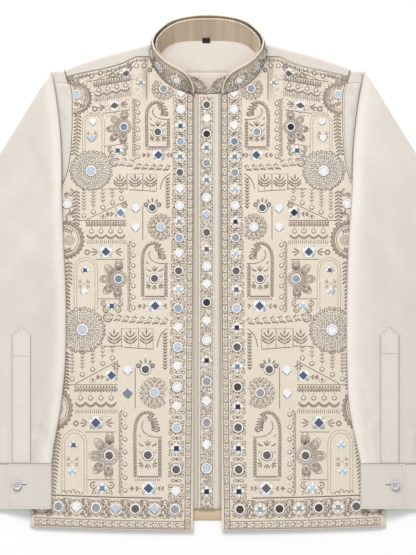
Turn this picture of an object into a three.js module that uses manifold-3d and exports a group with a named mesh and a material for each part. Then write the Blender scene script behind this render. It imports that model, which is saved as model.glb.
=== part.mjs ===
// A bandi jacket kurta set, laid flat on its back: an embroidered sleeveless bandi jacket with
// mirror work, over a plain long-sleeved kurta with a mirror placket. Millimetres, +Z up from the
// surface that it lies on, +Y towards the collar. Left and right are the wearer's, so the wearer's
// right is at negative X. Outlines are given for one side as distances from the centre line.
import * as THREE from "three";
import { mergeVertices } from "three/addons/utils/BufferGeometryUtils.js";
import Module from "manifold-3d";

const { clamp, lerp, smoothstep } = THREE.MathUtils;

// Cloth walls, the gap left at each seam, and the height of each layer above the surface.
const SEAM = 0.3;
const JACKET_CLOTH = 1.6;
const KURTA_CLOTH = 1.2;
const CUFF_CLOTH = 1.8;
const JACKET_BACK_Z = 0;
const KURTA_BACK_Z = JACKET_BACK_Z + JACKET_CLOTH + SEAM;
const KURTA_FRONT_Z = KURTA_BACK_Z + KURTA_CLOTH + SEAM;
const JACKET_FRONT_Z = KURTA_FRONT_Z + KURTA_CLOTH + SEAM;
const SLEEVE_Z = JACKET_FRONT_Z + JACKET_CLOTH + SEAM;

const ARMHOLE_GAP = 0.9;

// Lengths and half widths of the two garments.
const JACKET_HEM_Y = -386.6;
const JACKET_HEM_CORNER_RISE = 6.7;
const JACKET_BACK_HEM_Y = -371;
const KURTA_HEM_Y = -353.6;
const JACKET_FRONT_EDGE = { right: 22.2, left: 20.3 };
const PLACKET_CENTRE_X = -2;
const PLACKET_WIDTH = 24;
const PLACKET_TOP_Y = 266;
const PLACKET_CLOTH = 1.4;
const YOKE_DEPTH_IN_FRONT = 17;
const SHOULDER_WRAP_FROM = { jacket: 88.8, kurta: 84.5 };

// Sleeves and cuffs, pressed flat, and what is sewn on them.
const SLEEVE_THICKNESS = 5.8;
const SLEEVE_DROP_WIDTH = 45;
const CUFF_THICKNESS = 6.8;
const CUFF_TOP_Y = -285.4;
const CUFF_BOTTOM_Y = -353.6;
const CUFF_WIDTH = 120;
const CUFF_OVERLAP_STEP = 1.1;
const SLEEVE_PLACKET_WIDTH = 28.5;
const SLEEVE_PLACKET_SHOULDER_Y = -93.4;
const SLEEVE_PLACKET_POINT_Y = -81.4;
const BUTTON_RADIUS = 7;
const BUTTON_THICKNESS = 2.6;
const BUTTON_HOLE_RADIUS = 0.9;
const BUTTON_HOLE_SPACING = 3.4;
const BUTTON_Y = -318.4;

// The stand collars, the piping on their edges, and the label in the neck.
const COLLAR_WALL = 2.4;
const COLLAR_BOW = 0.8;
const PIPING_RADIUS = 1.1;
const LABEL_WIDTH = 11.6;
const LABEL_CENTRE_X = -2.6;
const LABEL_BOTTOM_Y = 344.4;
const LABEL_TOP_Y = 351.6;
const LABEL_THICKNESS = 0.8;

const COLOURS = {
  ivory: { color: 0xebe5da, roughness: 0.55, metalness: 0 },
  cream: { color: 0xeedfc8, roughness: 0.7, metalness: 0 },
  embroidery: { color: 0xcdbfae, roughness: 0.75, metalness: 0 },
  piping: { color: 0xf3ebdc, roughness: 0.6, metalness: 0 },
  pearl: { color: 0xc9c6c2, roughness: 0.25, metalness: 0.1 },
  black: { color: 0x1a1a1c, roughness: 0.8, metalness: 0 },
};

// Rows of numbers under named columns.
function table(names, rows) {
  const columns = names.split(" ");
  return rows.map((row) => Object.fromEntries(row.map((value, i) => [columns[i], value])));
}

// The jacket's edge down one side: shoulder point, armhole, underarm, side seam and hem corner.
const JACKET_SIDE = table("x y", [
  [215.1, 305],
  [211.1, 293],
  [206.4, 277],
  [204.5, 262],
  [204.3, 240],
  [204.5, 218],
  [206.4, 184],
  [208.5, 167],
  [211.8, 151],
  [217.8, 133.6],
  [219.2, 127],
  [238, -70],
  [267, -380],
]);

// The top of the jacket's back: half the neck, then the shoulder line.
const JACKET_BACK_TOP = table("x y", [
  [0, 356.5],
  [45, 355],
  [62, 351.5],
  [74, 348],
  [84, 344.3],
  [162, 322.9],
  [215.1, 305],
]);

// The top of a jacket front: its neckline, then the seam below the shoulder.
const JACKET_FRONT_TOP = table("x y", [
  [20.3, 268],
  [34.4, 271.4],
  [43.5, 274.7],
  [59.1, 283.1],
  [69.5, 292.3],
  [77.3, 302.6],
  [82.5, 311.8],
  [86.4, 319.6],
  [89.4, 324.2],
  [105.3, 324.4],
  [116, 320.3],
  [126.5, 315.1],
  [153, 307.1],
  [179.6, 301.7],
  [211.5, 294.2],
]);

// The kurta's side seam, inside the jacket, below the armhole.
const KURTA_SIDE = table("x y", [
  [213, 131],
  [206, 116],
  [225, -70],
  [252, -354],
]);

// The top of the kurta's yoke at the back: half the neck, then the shoulder line.
const KURTA_YOKE_TOP = table("x y", [
  [0, 351.5],
  [43.5, 350.5],
  [60, 346.5],
  [72, 342.5],
  [84, 339.8],
  [162, 318.6],
  [213, 301.6],
  [232, 301.8],
]);

// The seam below the yoke at the back.
const KURTA_YOKE_SEAM = table("x y", [
  [0, 300.7],
  [80, 300.7],
  [232, 290],
]);

// The top of a kurta front: its neckline, then the front seam of the yoke.
const KURTA_FRONT_TOP = table("x y", [
  [0, 270.2],
  [10, 269.8],
  [21.3, 271],
  [34.4, 275.2],
  [43.5, 278.6],
  [57.3, 286.7],
  [67, 295.5],
  [74.2, 305],
  [78, 313],
  [81, 319],
  [84.5, 322.3],
  [162, 301.3],
  [213, 284.3],
  [232, 284.6],
]);

// The stand collars: the seam at the neck, and the free edge above it, from a front end to the
// middle of the back. Where the two come together, the end is rounded off.
const COLLAR_COLUMNS = "seamX seamY seamZ edgeX edgeY edgeZ";
const JACKET_COLLAR = table(COLLAR_COLUMNS, [
  [21.6, 267, 6.8, 21.8, 268.8, 8.8],
  [22.6, 267.2, 6.8, 23, 277.4, 14.6],
  [27, 268.4, 6.8, 26.8, 287.4, 21.6],
  [34.4, 270.2, 6.8, 33.4, 296.4, 27],
  [43.5, 273.5, 6.8, 43.5, 303.4, 30],
  [59.1, 281.9, 6.8, 59.1, 311.9, 30],
  [69.5, 291.1, 6.8, 72, 322.3, 30],
  [77.3, 301.4, 6.8, 80.4, 333, 30],
  [82.5, 310.6, 6.8, 83.4, 341.5, 29.8],
  [86.4, 318.4, 6.8, 83.8, 348, 29.4],
  [87.6, 326, 6.8, 81.6, 354.5, 29],
  [87, 335, 6.6, 77, 361, 28.4],
  [83.4, 343, 4.6, 69.6, 368.2, 27.6],
  [75, 347.6, 2.6, 60, 375.4, 26.8],
  [60, 352.2, 1.9, 46.5, 380.9, 26.2],
  [40, 354.6, 1.9, 31, 384.2, 25.6],
  [20, 355.4, 1.9, 15.5, 386.2, 25.2],
  [0, 355.6, 1.9, 0, 386.6, 25],
]);
const KURTA_COLLAR = table(COLLAR_COLUMNS, [
  [0.6, 268.9, 4.9, 0.7, 270.8, 6.6],
  [1.6, 268.8, 4.9, 2, 275.2, 10],
  [5.4, 268.6, 4.9, 5.7, 281.6, 14.6],
  [10.6, 268.5, 4.9, 11, 287.8, 19.2],
  [18.4, 269.2, 4.9, 18.8, 292.6, 22.4],
  [29, 272, 4.9, 30, 296.4, 24],
  [43.5, 277.3, 4.9, 43.5, 303, 25.2],
  [57.3, 285.4, 4.9, 57.6, 311.8, 25.4],
  [67, 294.2, 4.9, 68.6, 321.4, 25.6],
  [74.2, 303.8, 4.9, 76, 332, 25.8],
  [77.6, 312.5, 4.9, 78.6, 341, 26.2],
  [77.6, 321, 4.6, 77.4, 349.4, 26.6],
  [72.6, 331, 3.6, 72.2, 357.4, 27],
  [64.6, 338.8, 3.4, 63.6, 365.4, 27.2],
  [55.6, 344.4, 3.4, 52.4, 372.4, 27.2],
  [43.5, 348.4, 3.4, 38, 377.4, 27],
  [22, 350, 3.4, 19, 380.2, 26.8],
  [0, 350.3, 3.4, 0, 380.8, 26.8],
]);

// A sleeve is a flat tube. Each row is a section from its fold beside the body to its outer fold:
// the first one runs up the armhole, and the others turn from it until they lie across the sleeve.
// bow pushes the middle of a section towards the body.
const SLEEVE_SECTIONS = table("foldRight foldLeft foldY outerX outerY bow", [
  [219.2, 216.2, 133.6, 234.2, 303, 4.5],
  [219.1, 216.1, 130, 247, 284, 2.5],
  [218.9, 215.7, 125, 268, 250, 1.5],
  [218.7, 215.2, 118, 292, 211, 0.8],
  [218.3, 214.6, 108, 318, 169, 0],
  [217.8, 213.8, 94, 340, 128, 0],
  [217.1, 212.6, 76, 358, 90, 0],
  [216.3, 210.6, 49, 371, 50, 0],
  [214.4, 209, 12, 378.4, 12, 0],
  [212.8, 207.9, -25, 380.4, -25, 0],
  [212.2, 207.3, -62, 378.6, -62, 0],
  [212.3, 207.3, -100, 373.6, -100, 0],
  [213.6, 207.8, -137, 368.8, -137, 0],
  [216.4, 208.7, -170, 365, -170, 0],
  [219.8, 211, -200, 361.4, -200, 0],
  [223.4, 214.6, -222, 358.8, -222, 0],
  [227.6, 219.2, -244, 356.6, -244, 0],
  [231, 223.8, -264, 354.8, -264, 0],
  [233.6, 228.2, -285.1, 354, -285.1, 0],
]);

const FOLD_COLUMN = { right: "foldRight", left: "foldLeft" };

// Soft ridges in a sleeve's upper layer, from one point to another, with half width and height.
const SLEEVE_FOLDS = table("x1 y1 x2 y2 width height", [
  [226, 96, 300, -6, 11, 0.9],
  [250, 176, 330, 66, 14, 0.8],
  [236, -20, 262, -62, 9, 0.7],
  [320, -20, 344, -150, 15, 0.9],
  [228, -150, 252, -222, 8, 0.8],
  [244, -232, 247, -283, 4.5, 1.2],
  [260, -246, 259, -283, 3.6, 1],
  [304, -240, 306, -283, 4.2, 1.1],
  [322, -228, 318, -283, 4.8, 1.2],
  [341, -244, 336, -283, 4, 0.9],
]);

// Where the strip and the button lie on each sleeve.
const SLEEVE_TRIM = {
  right: { placketX: 279.8, buttonX: 285.9, overlapX: 300 },
  left: { placketX: 272.2, buttonX: 280.5, overlapX: 295 },
};

// Places across a front where its rows have points, shared by what is sewn to its top.
const NECK_COLUMNS = [36, 46, 60, 69, 77, 82, 86, 90];
const SHOULDER_COLUMNS = [98, 106, 116, 127, 140, 160, 186];

// Broad soft ridges that the jacket's fronts keep when they lie flat.
const FRONT_FOLDS = table("x1 y1 x2 y2 width height", [
  [120, 230, 90, 60, 34, 1.1],
  [150, 20, 176, -180, 38, 1.2],
  [70, -60, 84, -260, 30, 0.9],
]);

// A smooth curve through the rows of a table, one column read as a function of another.
function reader(rows, from, to) {
  const sorted = [...rows].sort((a, b) => a[from] - b[from]);
  const rise = (i) => (sorted[i + 1][to] - sorted[i][to]) / (sorted[i + 1][from] - sorted[i][from]);
  const slope = (i) => {
    if (i === 0) return rise(0);
    if (i === sorted.length - 1) return rise(i - 1);
    const [before, after] = [rise(i - 1), rise(i)];
    return before * after > 0 ? (2 * before * after) / (before + after) : 0;
  };
  return (value) => {
    const at = clamp(value, sorted[0][from], sorted[sorted.length - 1][from]);
    const i = Math.max(1, sorted.findIndex((row) => row[from] >= at));
    const [a, b] = [sorted[i - 1], sorted[i]];
    const span = b[from] - a[from];
    const t = (at - a[from]) / span;
    const blend = t * t * (3 - 2 * t);
    const bend = t * (1 - t) * span;
    return lerp(a[to], b[to], blend) + bend * ((1 - t) * slope(i - 1) - t * slope(i));
  };
}

const jacketSideX = reader(JACKET_SIDE, "y", "x");
const jacketBackTopY = reader(JACKET_BACK_TOP, "x", "y");
const jacketFrontTopY = reader(JACKET_FRONT_TOP, "x", "y");
const kurtaSeamX = reader(KURTA_SIDE, "y", "x");
const kurtaYokeTopY = reader(KURTA_YOKE_TOP, "x", "y");
const kurtaYokeSeamY = reader(KURTA_YOKE_SEAM, "x", "y");
const kurtaFrontTopY = reader(KURTA_FRONT_TOP, "x", "y");

// The height that a list of soft ridges adds at a point.
function ridges(folds, x, y) {
  return folds.reduce((sum, fold) => {
    const [runX, runY] = [fold.x2 - fold.x1, fold.y2 - fold.y1];
    const along = ((x - fold.x1) * runX + (y - fold.y1) * runY) / (runX * runX + runY * runY);
    const t = clamp(along, 0, 1);
    const away = Math.hypot(x - fold.x1 - t * runX, y - fold.y1 - t * runY);
    return sum + fold.height * Math.exp(-((away / fold.width) ** 2));
  }, 0);
}

// The kurta's edge down one side: along the armhole end of the sleeve, then down the side seam.
function kurtaSideX(name, y) {
  const [armhole] = SLEEVE_SECTIONS;
  const underarm = armhole[FOLD_COLUMN[name]];
  const t = clamp((y - armhole.foldY) / (armhole.outerY - armhole.foldY), 0, 1);
  if (t === 0) return Math.min(kurtaSeamX(y), underarm - ARMHOLE_GAP);
  return lerp(underarm, armhole.outerX, t) - armhole.bow * 4 * t * (1 - t) - ARMHOLE_GAP;
}

// Fractions from 0 to 1 in even steps.
function even(steps) {
  return Array.from({ length: steps + 1 }, (_, i) => i / steps);
}

// A closed wall between two grids of points. A round one joins its last column to its first.
function wall(outer, inner, round = false) {
  const rows = outer.length;
  const columns = outer[0].length;
  const last = round ? columns : columns - 1;
  const at = (layer, r, c) => (layer * rows + r) * columns + (c % columns);
  const index = [];
  const quad = (a, b, c, d) => index.push(a, b, c, a, c, d);
  for (let r = 0; r < rows - 1; r++) {
    for (let c = 0; c < last; c++) {
      quad(at(0, r, c), at(0, r + 1, c), at(0, r + 1, c + 1), at(0, r, c + 1));
      quad(at(1, r, c), at(1, r, c + 1), at(1, r + 1, c + 1), at(1, r + 1, c));
    }
    if (round) continue;
    quad(at(0, r + 1, 0), at(0, r, 0), at(1, r, 0), at(1, r + 1, 0));
    quad(at(0, r, last), at(0, r + 1, last), at(1, r + 1, last), at(1, r, last));
  }
  for (let c = 0; c < last; c++) {
    const end = rows - 1;
    quad(at(0, 0, c), at(0, 0, c + 1), at(1, 0, c + 1), at(1, 0, c));
    quad(at(0, end, c + 1), at(0, end, c), at(1, end, c), at(1, end, c + 1));
  }
  const points = [...outer.flat(), ...inner.flat()];
  const volume = index.reduce((sum, _, i) => {
    if (i % 3) return sum;
    const [a, b, c] = index.slice(i, i + 3).map((n) => points[n]);
    return sum + a.dot(b.clone().cross(c));
  }, 0);
  if (volume < 0) index.reverse();
  return new THREE.BufferGeometry().setFromPoints(points).setIndex(index);
}

// A flat piece of cloth. Its sides are given as x for each y, its top and bottom as y for each x,
// and its upper and lower face as heights.
function panel({ columns, rows, from, to, top, bottom, over, under }) {
  const [topY, bottomY] = [1e4, -1e4];
  const grid = (height) =>
    rows.map((v) =>
      columns.map((s) => {
        const highest = top(lerp(from(topY), to(topY), s));
        const lowest = bottom(lerp(from(bottomY), to(bottomY), s));
        const y = lerp(highest, lowest, v);
        const x = lerp(from(y), to(y), s);
        return new THREE.Vector3(x, y, height(x, y));
      }),
    );
  return wall(grid(over), grid(under));
}

const wasm = await Module();
wasm.setup();

// A geometry as a solid, and a solid as a geometry.
function solid(geometry) {
  const bare = geometry.clone();
  bare.deleteAttribute("normal");
  bare.deleteAttribute("uv");
  const merged = mergeVertices(bare, 1e-4);
  return new wasm.Manifold(
    new wasm.Mesh({
      numProp: 3,
      vertProperties: merged.attributes.position.array,
      triVerts: new Uint32Array(merged.index.array),
    }),
  );
}

function geometryOf(made) {
  const mesh = made.getMesh();
  return new THREE.BufferGeometry()
    .setAttribute("position", new THREE.BufferAttribute(mesh.vertProperties, 3))
    .setIndex(new THREE.BufferAttribute(mesh.triVerts, 1));
}

// Cloth that runs over the shoulder: from the back layer round the shoulder line and forward to a
// seam in front. side is -1 for the wearer's right and 1 for the left.
function shoulderWrap({ side, stations, shoulder, seam, lowZ, highZ, cloth }) {
  const radius = (highZ + cloth - lowZ) / 2;
  const arc = even(4).map((t) => -Math.PI / 2 + Math.PI * t);
  const reach = 6;
  const section = (x, r) => {
    const centreY = shoulder(x) - radius;
    const z = (angle) => lowZ + radius + r * Math.sin(angle);
    return [
      [centreY - reach, z(arc[0])],
      ...arc.map((angle) => [centreY + r * Math.cos(angle), z(angle)]),
      [seam(x) + 2 * SEAM, z(arc[arc.length - 1])],
    ].map(([y, height]) => new THREE.Vector3(side * x, y, height));
  };
  return wall(
    stations.map((x) => section(x, radius)),
    stations.map((x) => section(x, radius - cloth)),
  );
}

const sides = [
  { name: "right", sign: -1 },
  { name: "left", sign: 1 },
];

function join(geometries) {
  return geometryOf(geometries.map(solid).reduce((a, b) => a.add(b)));
}

// The jacket's back, with the parts that it wraps forward over both shoulders.
function jacketBack() {
  const tuck = 3;
  const back = panel({
    columns: even(12),
    rows: even(9),
    from: (y) => -jacketSideX(y),
    to: jacketSideX,
    top: (x) => jacketBackTopY(Math.abs(x)) - tuck * smoothstep(Math.abs(x), 80, 90),
    bottom: () => JACKET_BACK_HEM_Y,
    over: () => JACKET_BACK_Z + JACKET_CLOTH,
    under: () => JACKET_BACK_Z,
  });
  const wraps = sides.map(({ sign }) =>
    shoulderWrap({
      side: sign,
      stations: [SHOULDER_WRAP_FROM.jacket, ...SHOULDER_COLUMNS, 210.5],
      shoulder: jacketBackTopY,
      seam: jacketFrontTopY,
      lowZ: JACKET_BACK_Z,
      highZ: JACKET_FRONT_Z,
      cloth: JACKET_CLOTH,
    }),
  );
  return join([back, ...wraps]);
}

// The upper face of a jacket front: flat near its edges, softly ridged between them, and turned
// down to the back along the side seam.
function frontRelief(x, y) {
  const inside = smoothstep(x, 40, 70) * smoothstep(jacketSideX(y) - x, 20, 60);
  const ends = smoothstep(y, JACKET_HEM_Y + 10, JACKET_HEM_Y + 70) * smoothstep(265 - y, 0, 50);
  const turn = KURTA_CLOTH * 2 + SEAM * 2;
  const edge = 1 - smoothstep(jacketSideX(y) - x, 0.5, 8);
  const belowArmhole = smoothstep(112 - y, 0, 20);
  return inside * ends * ridges(FRONT_FOLDS, x, y) - turn * edge * belowArmhole;
}

function jacketFront({ name, sign }) {
  const edge = JACKET_FRONT_EDGE[name];
  const widest = 267;
  const topWidth = jacketSideX(294) - edge;
  const hem = (x) => JACKET_HEM_Y + JACKET_HEM_CORNER_RISE * (Math.abs(x) / widest) ** 2;
  const places = [...NECK_COLUMNS, ...SHOULDER_COLUMNS, 199, 205];
  const columns = [0, ...places.map((x) => (x - edge) / topWidth), 1];
  const z = (x, y) => JACKET_FRONT_Z + frontRelief(Math.abs(x), y);
  return panel({
    columns,
    rows: [0, 0.03, 0.08, 0.13, 0.18, 0.22, 0.26, 0.3, 0.36, ...even(7).map((t) => 0.43 + 0.57 * t)],
    from: () => sign * edge,
    to: (y) => sign * jacketSideX(Math.min(y, 294)),
    top: (x) => jacketFrontTopY(Math.abs(x)),
    bottom: hem,
    over: (x, y) => z(x, y) + JACKET_CLOTH,
    under: z,
  });
}

function kurtaBack() {
  return panel({
    columns: even(8),
    rows: even(9),
    from: (y) => -kurtaSideX("right", y),
    to: (y) => kurtaSideX("left", y),
    top: (x) => kurtaYokeSeamY(Math.abs(x)) - SEAM,
    bottom: () => KURTA_HEM_Y,
    over: () => KURTA_BACK_Z + KURTA_CLOTH,
    under: () => KURTA_BACK_Z,
  });
}

// The kurta's yoke, across the back of the neck and forward over both shoulders.
function kurtaYoke() {
  const outerX = 231.4;
  const tuck = 1.2;
  const back = panel({
    columns: even(18),
    rows: even(1),
    from: () => -outerX,
    to: () => outerX,
    top: (x) => kurtaYokeTopY(Math.abs(x)) - tuck * smoothstep(Math.abs(x), 78, 84),
    bottom: (x) => kurtaYokeSeamY(Math.abs(x)),
    over: () => KURTA_BACK_Z + KURTA_CLOTH,
    under: () => KURTA_BACK_Z,
  });
  const wraps = sides.map(({ sign }) =>
    shoulderWrap({
      side: sign,
      stations: [SHOULDER_WRAP_FROM.kurta, 92, 104, 123, 162, 190, 213, outerX - 1],
      shoulder: kurtaYokeTopY,
      seam: kurtaFrontTopY,
      lowZ: KURTA_BACK_Z,
      highZ: KURTA_FRONT_Z,
      cloth: KURTA_CLOTH,
    }),
  );
  return join([back, ...wraps]);
}

function kurtaFront({ name, sign }) {
  const split = PLACKET_CENTRE_X + sign * SEAM;
  const topWidth = 232;
  const places = [14, 30, 44, 56, 66, 72, 77, 81, 85, 123, 162, 190, 213];
  return panel({
    columns: [0, ...places.map((x) => x / topWidth), 1],
    rows: [0, 0.05, 0.1, 0.15, 0.2, 0.24, 0.27, 0.3, ...even(3).map((t) => 0.4 + 0.6 * t)],
    from: () => split,
    to: (y) => sign * kurtaSideX(name, y),
    top: (x) => kurtaFrontTopY(Math.abs(x)),
    bottom: () => KURTA_HEM_Y,
    over: () => KURTA_FRONT_Z + KURTA_CLOTH,
    under: () => KURTA_FRONT_Z,
  });
}

function kurtaPlacket() {
  return panel({
    columns: even(1),
    rows: even(1),
    from: () => PLACKET_CENTRE_X - PLACKET_WIDTH / 2,
    to: () => PLACKET_CENTRE_X + PLACKET_WIDTH / 2,
    top: () => PLACKET_TOP_Y,
    bottom: () => KURTA_HEM_Y,
    over: () => KURTA_FRONT_Z + KURTA_CLOTH + SEAM + PLACKET_CLOTH,
    under: () => KURTA_FRONT_Z + KURTA_CLOTH + SEAM,
  });
}

// One collar as two curves, the seam and the free edge, from the wearer's right front end round
// the neck to the left one, read at matching places.
function collarCurves(half) {
  const curve = (x, y, z) => {
    const right = half.map((row) => new THREE.Vector3(-row[x], row[y], row[z]));
    const left = half.slice(0, -1).map((row) => new THREE.Vector3(row[x], row[y], row[z]));
    return new THREE.CatmullRomCurve3([...right, ...left.reverse()], false, "centripetal");
  };
  const steps = 2 * (2 * half.length - 2);
  return {
    seam: curve("seamX", "seamY", "seamZ"),
    edge: curve("edgeX", "edgeY", "edgeZ"),
    stations: even(steps),
  };
}

// The horizontal direction from a collar's outer face to the inside of the neck.
function inward(seam, t) {
  const along = seam.getTangent(t);
  return new THREE.Vector3(along.y, -along.x, 0).normalize();
}

function collar(half) {
  const { seam, edge, stations } = collarCurves(half);
  const face = (depth) =>
    stations.map((t) => {
      const into = inward(seam, t);
      return even(2).map((h) => {
        const bow = COLLAR_BOW * 4 * h * (1 - h);
        return seam
          .getPoint(t)
          .lerp(edge.getPoint(t), h)
          .addScaledVector(into, depth - bow);
      });
    });
  return wall(face(0), face(COLLAR_WALL));
}

// A covered cord along a collar's free edge.
function piping(half, radius) {
  const { seam, edge, stations } = collarCurves(half);
  const points = stations.map((t) => {
    const along = edge.getTangent(t);
    const up = new THREE.Vector3(0, 0, 1).addScaledVector(along, -along.z).normalize();
    return edge
      .getPoint(t)
      .addScaledVector(inward(seam, t), COLLAR_WALL / 2)
      .addScaledVector(up, radius + 2 * SEAM);
  });
  const section = new THREE.Shape().absarc(0, 0, radius, 0, 2 * Math.PI);
  return new THREE.ExtrudeGeometry(section, {
    curveSegments: 4,
    steps: 46,
    extrudePath: new THREE.CatmullRomCurve3(points),
    bevelEnabled: false,
  });
}

// How high a sleeve's lower face lies: on the jacket beside its edge, and on the surface beyond.
function sleeveFloor(x, y) {
  return SLEEVE_Z * (1 - smoothstep(x - jacketSideX(y), 1, SLEEVE_DROP_WIDTH));
}

// A flat tube's section: places across it and up it, from the middle of its thickness.
function flatLoop(width, thickness, inset, across) {
  const radius = thickness / 2;
  const turn = even(4).map((t) => Math.PI * (0.5 - t));
  const r = radius - inset;
  const line = (edge) => across.map((s) => [lerp(radius, width - radius, s), edge]);
  return [
    ...line(r),
    ...turn.slice(1, -1).map((a) => [width - radius + r * Math.cos(a), r * Math.sin(a)]),
    ...line(-r).reverse(),
    ...turn.slice(1, -1).map((a) => [radius - r * Math.cos(a), -r * Math.sin(a)]),
  ];
}

// A flat tube through sections that run from a fold beside the body to an outer fold.
function flatTube({ sections, thickness, cloth, across, relief }) {
  const grid = (inset) =>
    sections.map(({ fold, outer, bow }) => {
      const run = outer.clone().sub(fold);
      const width = run.length();
      const along = run.clone().normalize();
      const towardsBody = new THREE.Vector2(-along.y * Math.sign(fold.x), along.x * Math.sign(fold.x));
      return flatLoop(width, thickness, inset, across).map(([u, w]) => {
        const bulge = (bow * 4 * u * (width - u)) / (width * width);
        const place = fold.clone().addScaledVector(along, u).addScaledVector(towardsBody, bulge);
        const [x, y] = [Math.abs(place.x), place.y];
        const upper = inset === 0 && w > 0 ? relief(x, y, u) * (w / (thickness / 2)) : 0;
        return new THREE.Vector3(place.x, y, sleeveFloor(x, y) + thickness / 2 + w + upper);
      });
    });
  return wall(grid(0), grid(cloth), true);
}

// The sleeve's upper layer: a soft roll along the fold beside the body, and the folds.
function sleeveRelief(x, y, u) {
  const roll = 1.1 * Math.exp(-(((u - 6) / 5) ** 2));
  return Math.min(1.8, roll + ridges(SLEEVE_FOLDS, x, y));
}

function sleeve({ name, sign }) {
  const foldX = FOLD_COLUMN[name];
  return flatTube({
    sections: SLEEVE_SECTIONS.map((row) => ({
      fold: new THREE.Vector2(sign * row[foldX], row.foldY),
      outer: new THREE.Vector2(sign * row.outerX, row.outerY),
      bow: row.bow,
    })),
    thickness: SLEEVE_THICKNESS,
    cloth: KURTA_CLOTH,
    across: [0, 0.03, 0.08, 0.17, 0.3, 0.46, 0.64, 0.83, 1],
    relief: sleeveRelief,
  });
}

function cuff({ name, sign }) {
  const foldX = SLEEVE_SECTIONS[SLEEVE_SECTIONS.length - 1][FOLD_COLUMN[name]];
  const { overlapX } = SLEEVE_TRIM[name];
  const rows = [CUFF_TOP_Y - SEAM / 2, -308, -331, CUFF_BOTTOM_Y];
  const overlap = (overlapX - foldX) / CUFF_WIDTH;
  return flatTube({
    sections: rows.map((y) => ({
      fold: new THREE.Vector2(sign * (foldX + 0.4), y),
      outer: new THREE.Vector2(sign * (foldX + 0.4 + CUFF_WIDTH), y),
      bow: 0,
    })),
    thickness: CUFF_THICKNESS,
    cloth: CUFF_CLOTH,
    across: [0, 0.12, 0.24, 0.36, 0.46, overlap, overlap + 0.012, 0.7, 0.85, 1],
    relief: (x) => CUFF_OVERLAP_STEP * (1 - smoothstep(x, overlapX, overlapX + 1)),
  });
}

// The strip over the slit in a sleeve, with a pointed top, made on the sleeve's upper layer.
function sleevePlacket({ name, sign }) {
  const { placketX } = SLEEVE_TRIM[name];
  const half = SLEEVE_PLACKET_WIDTH / 2;
  const lift = SEAM + 0.8;
  const surface = (x, y) => sleeveFloor(x, y) + SLEEVE_THICKNESS + ridges(SLEEVE_FOLDS, x, y);
  const z = (x, y) => surface(Math.abs(x), y) + lift;
  const point = (x) => {
    const fromMiddle = Math.abs(Math.abs(x) - placketX) / half;
    return lerp(SLEEVE_PLACKET_POINT_Y, SLEEVE_PLACKET_SHOULDER_Y, fromMiddle);
  };
  return panel({
    columns: even(2),
    rows: even(9),
    from: () => sign * (placketX - half),
    to: () => sign * (placketX + half),
    top: point,
    bottom: () => CUFF_TOP_Y + SEAM,
    over: (x, y) => z(x, y) + KURTA_CLOTH,
    under: z,
  });
}

function cuffButton() {
  const round = new THREE.Shape().absarc(0, 0, BUTTON_RADIUS - 0.5, 0, 2 * Math.PI);
  for (const [i, j] of [[-1, -1], [-1, 1], [1, -1], [1, 1]]) {
    const [x, y] = [(i * BUTTON_HOLE_SPACING) / 2, (j * BUTTON_HOLE_SPACING) / 2];
    round.holes.push(new THREE.Path().absarc(x, y, BUTTON_HOLE_RADIUS, 0, 2 * Math.PI, true));
  }
  return new THREE.ExtrudeGeometry(round, {
    depth: BUTTON_THICKNESS - 1,
    curveSegments: 5,
    bevelSize: 0.5,
    bevelThickness: 0.5,
    bevelSegments: 1,
  });
}

// The label lies on the yoke and leans against the inside of the kurta's collar.
function neckLabel() {
  const bendY = 346.4;
  const lean = 0.86;
  const z = (x, y) => KURTA_BACK_Z + KURTA_CLOTH + SEAM + lean * Math.max(0, y - bendY);
  return panel({
    columns: even(1),
    rows: [0, (LABEL_TOP_Y - bendY) / (LABEL_TOP_Y - LABEL_BOTTOM_Y), 1],
    from: () => LABEL_CENTRE_X - LABEL_WIDTH / 2,
    to: () => LABEL_CENTRE_X + LABEL_WIDTH / 2,
    top: () => LABEL_TOP_Y,
    bottom: () => LABEL_BOTTOM_Y,
    over: (x, y) => z(x, y) + LABEL_THICKNESS,
    under: z,
  });
}

const set = new THREE.Group();

function add(name, geometry, finish) {
  const mesh = new THREE.Mesh(geometry, new THREE.MeshStandardMaterial(finish));
  mesh.name = name;
  set.add(mesh);
  return mesh;
}

add("jacket_back", jacketBack(), COLOURS.cream);
add("jacket_collar", collar(JACKET_COLLAR), COLOURS.embroidery);
add("jacket_collar_piping", piping(JACKET_COLLAR, PIPING_RADIUS), COLOURS.piping);
add("kurta_back", kurtaBack(), COLOURS.ivory);
add("kurta_yoke", kurtaYoke(), COLOURS.ivory);
add("kurta_placket", kurtaPlacket(), COLOURS.embroidery);
add("kurta_collar", collar(KURTA_COLLAR), COLOURS.embroidery);
add("neck_label", neckLabel(), COLOURS.black);
for (const side of sides) {
  add(`jacket_front_${side.name}`, jacketFront(side), COLOURS.embroidery);
  add(`kurta_front_${side.name}`, kurtaFront(side), COLOURS.ivory);
  add(`sleeve_${side.name}`, sleeve(side), COLOURS.ivory);
  add(`cuff_${side.name}`, cuff(side), COLOURS.ivory);
  add(`sleeve_placket_${side.name}`, sleevePlacket(side), COLOURS.ivory);
  const button = add(`cuff_button_${side.name}`, cuffButton(), COLOURS.pearl);
  const { buttonX } = SLEEVE_TRIM[side.name];
  const cuffTop = sleeveFloor(buttonX - BUTTON_RADIUS, BUTTON_Y) + CUFF_THICKNESS + CUFF_OVERLAP_STEP;
  button.position.set(side.sign * buttonX, BUTTON_Y, cuffTop + SEAM + 0.5);
}

export default set;
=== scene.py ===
import math

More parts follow.
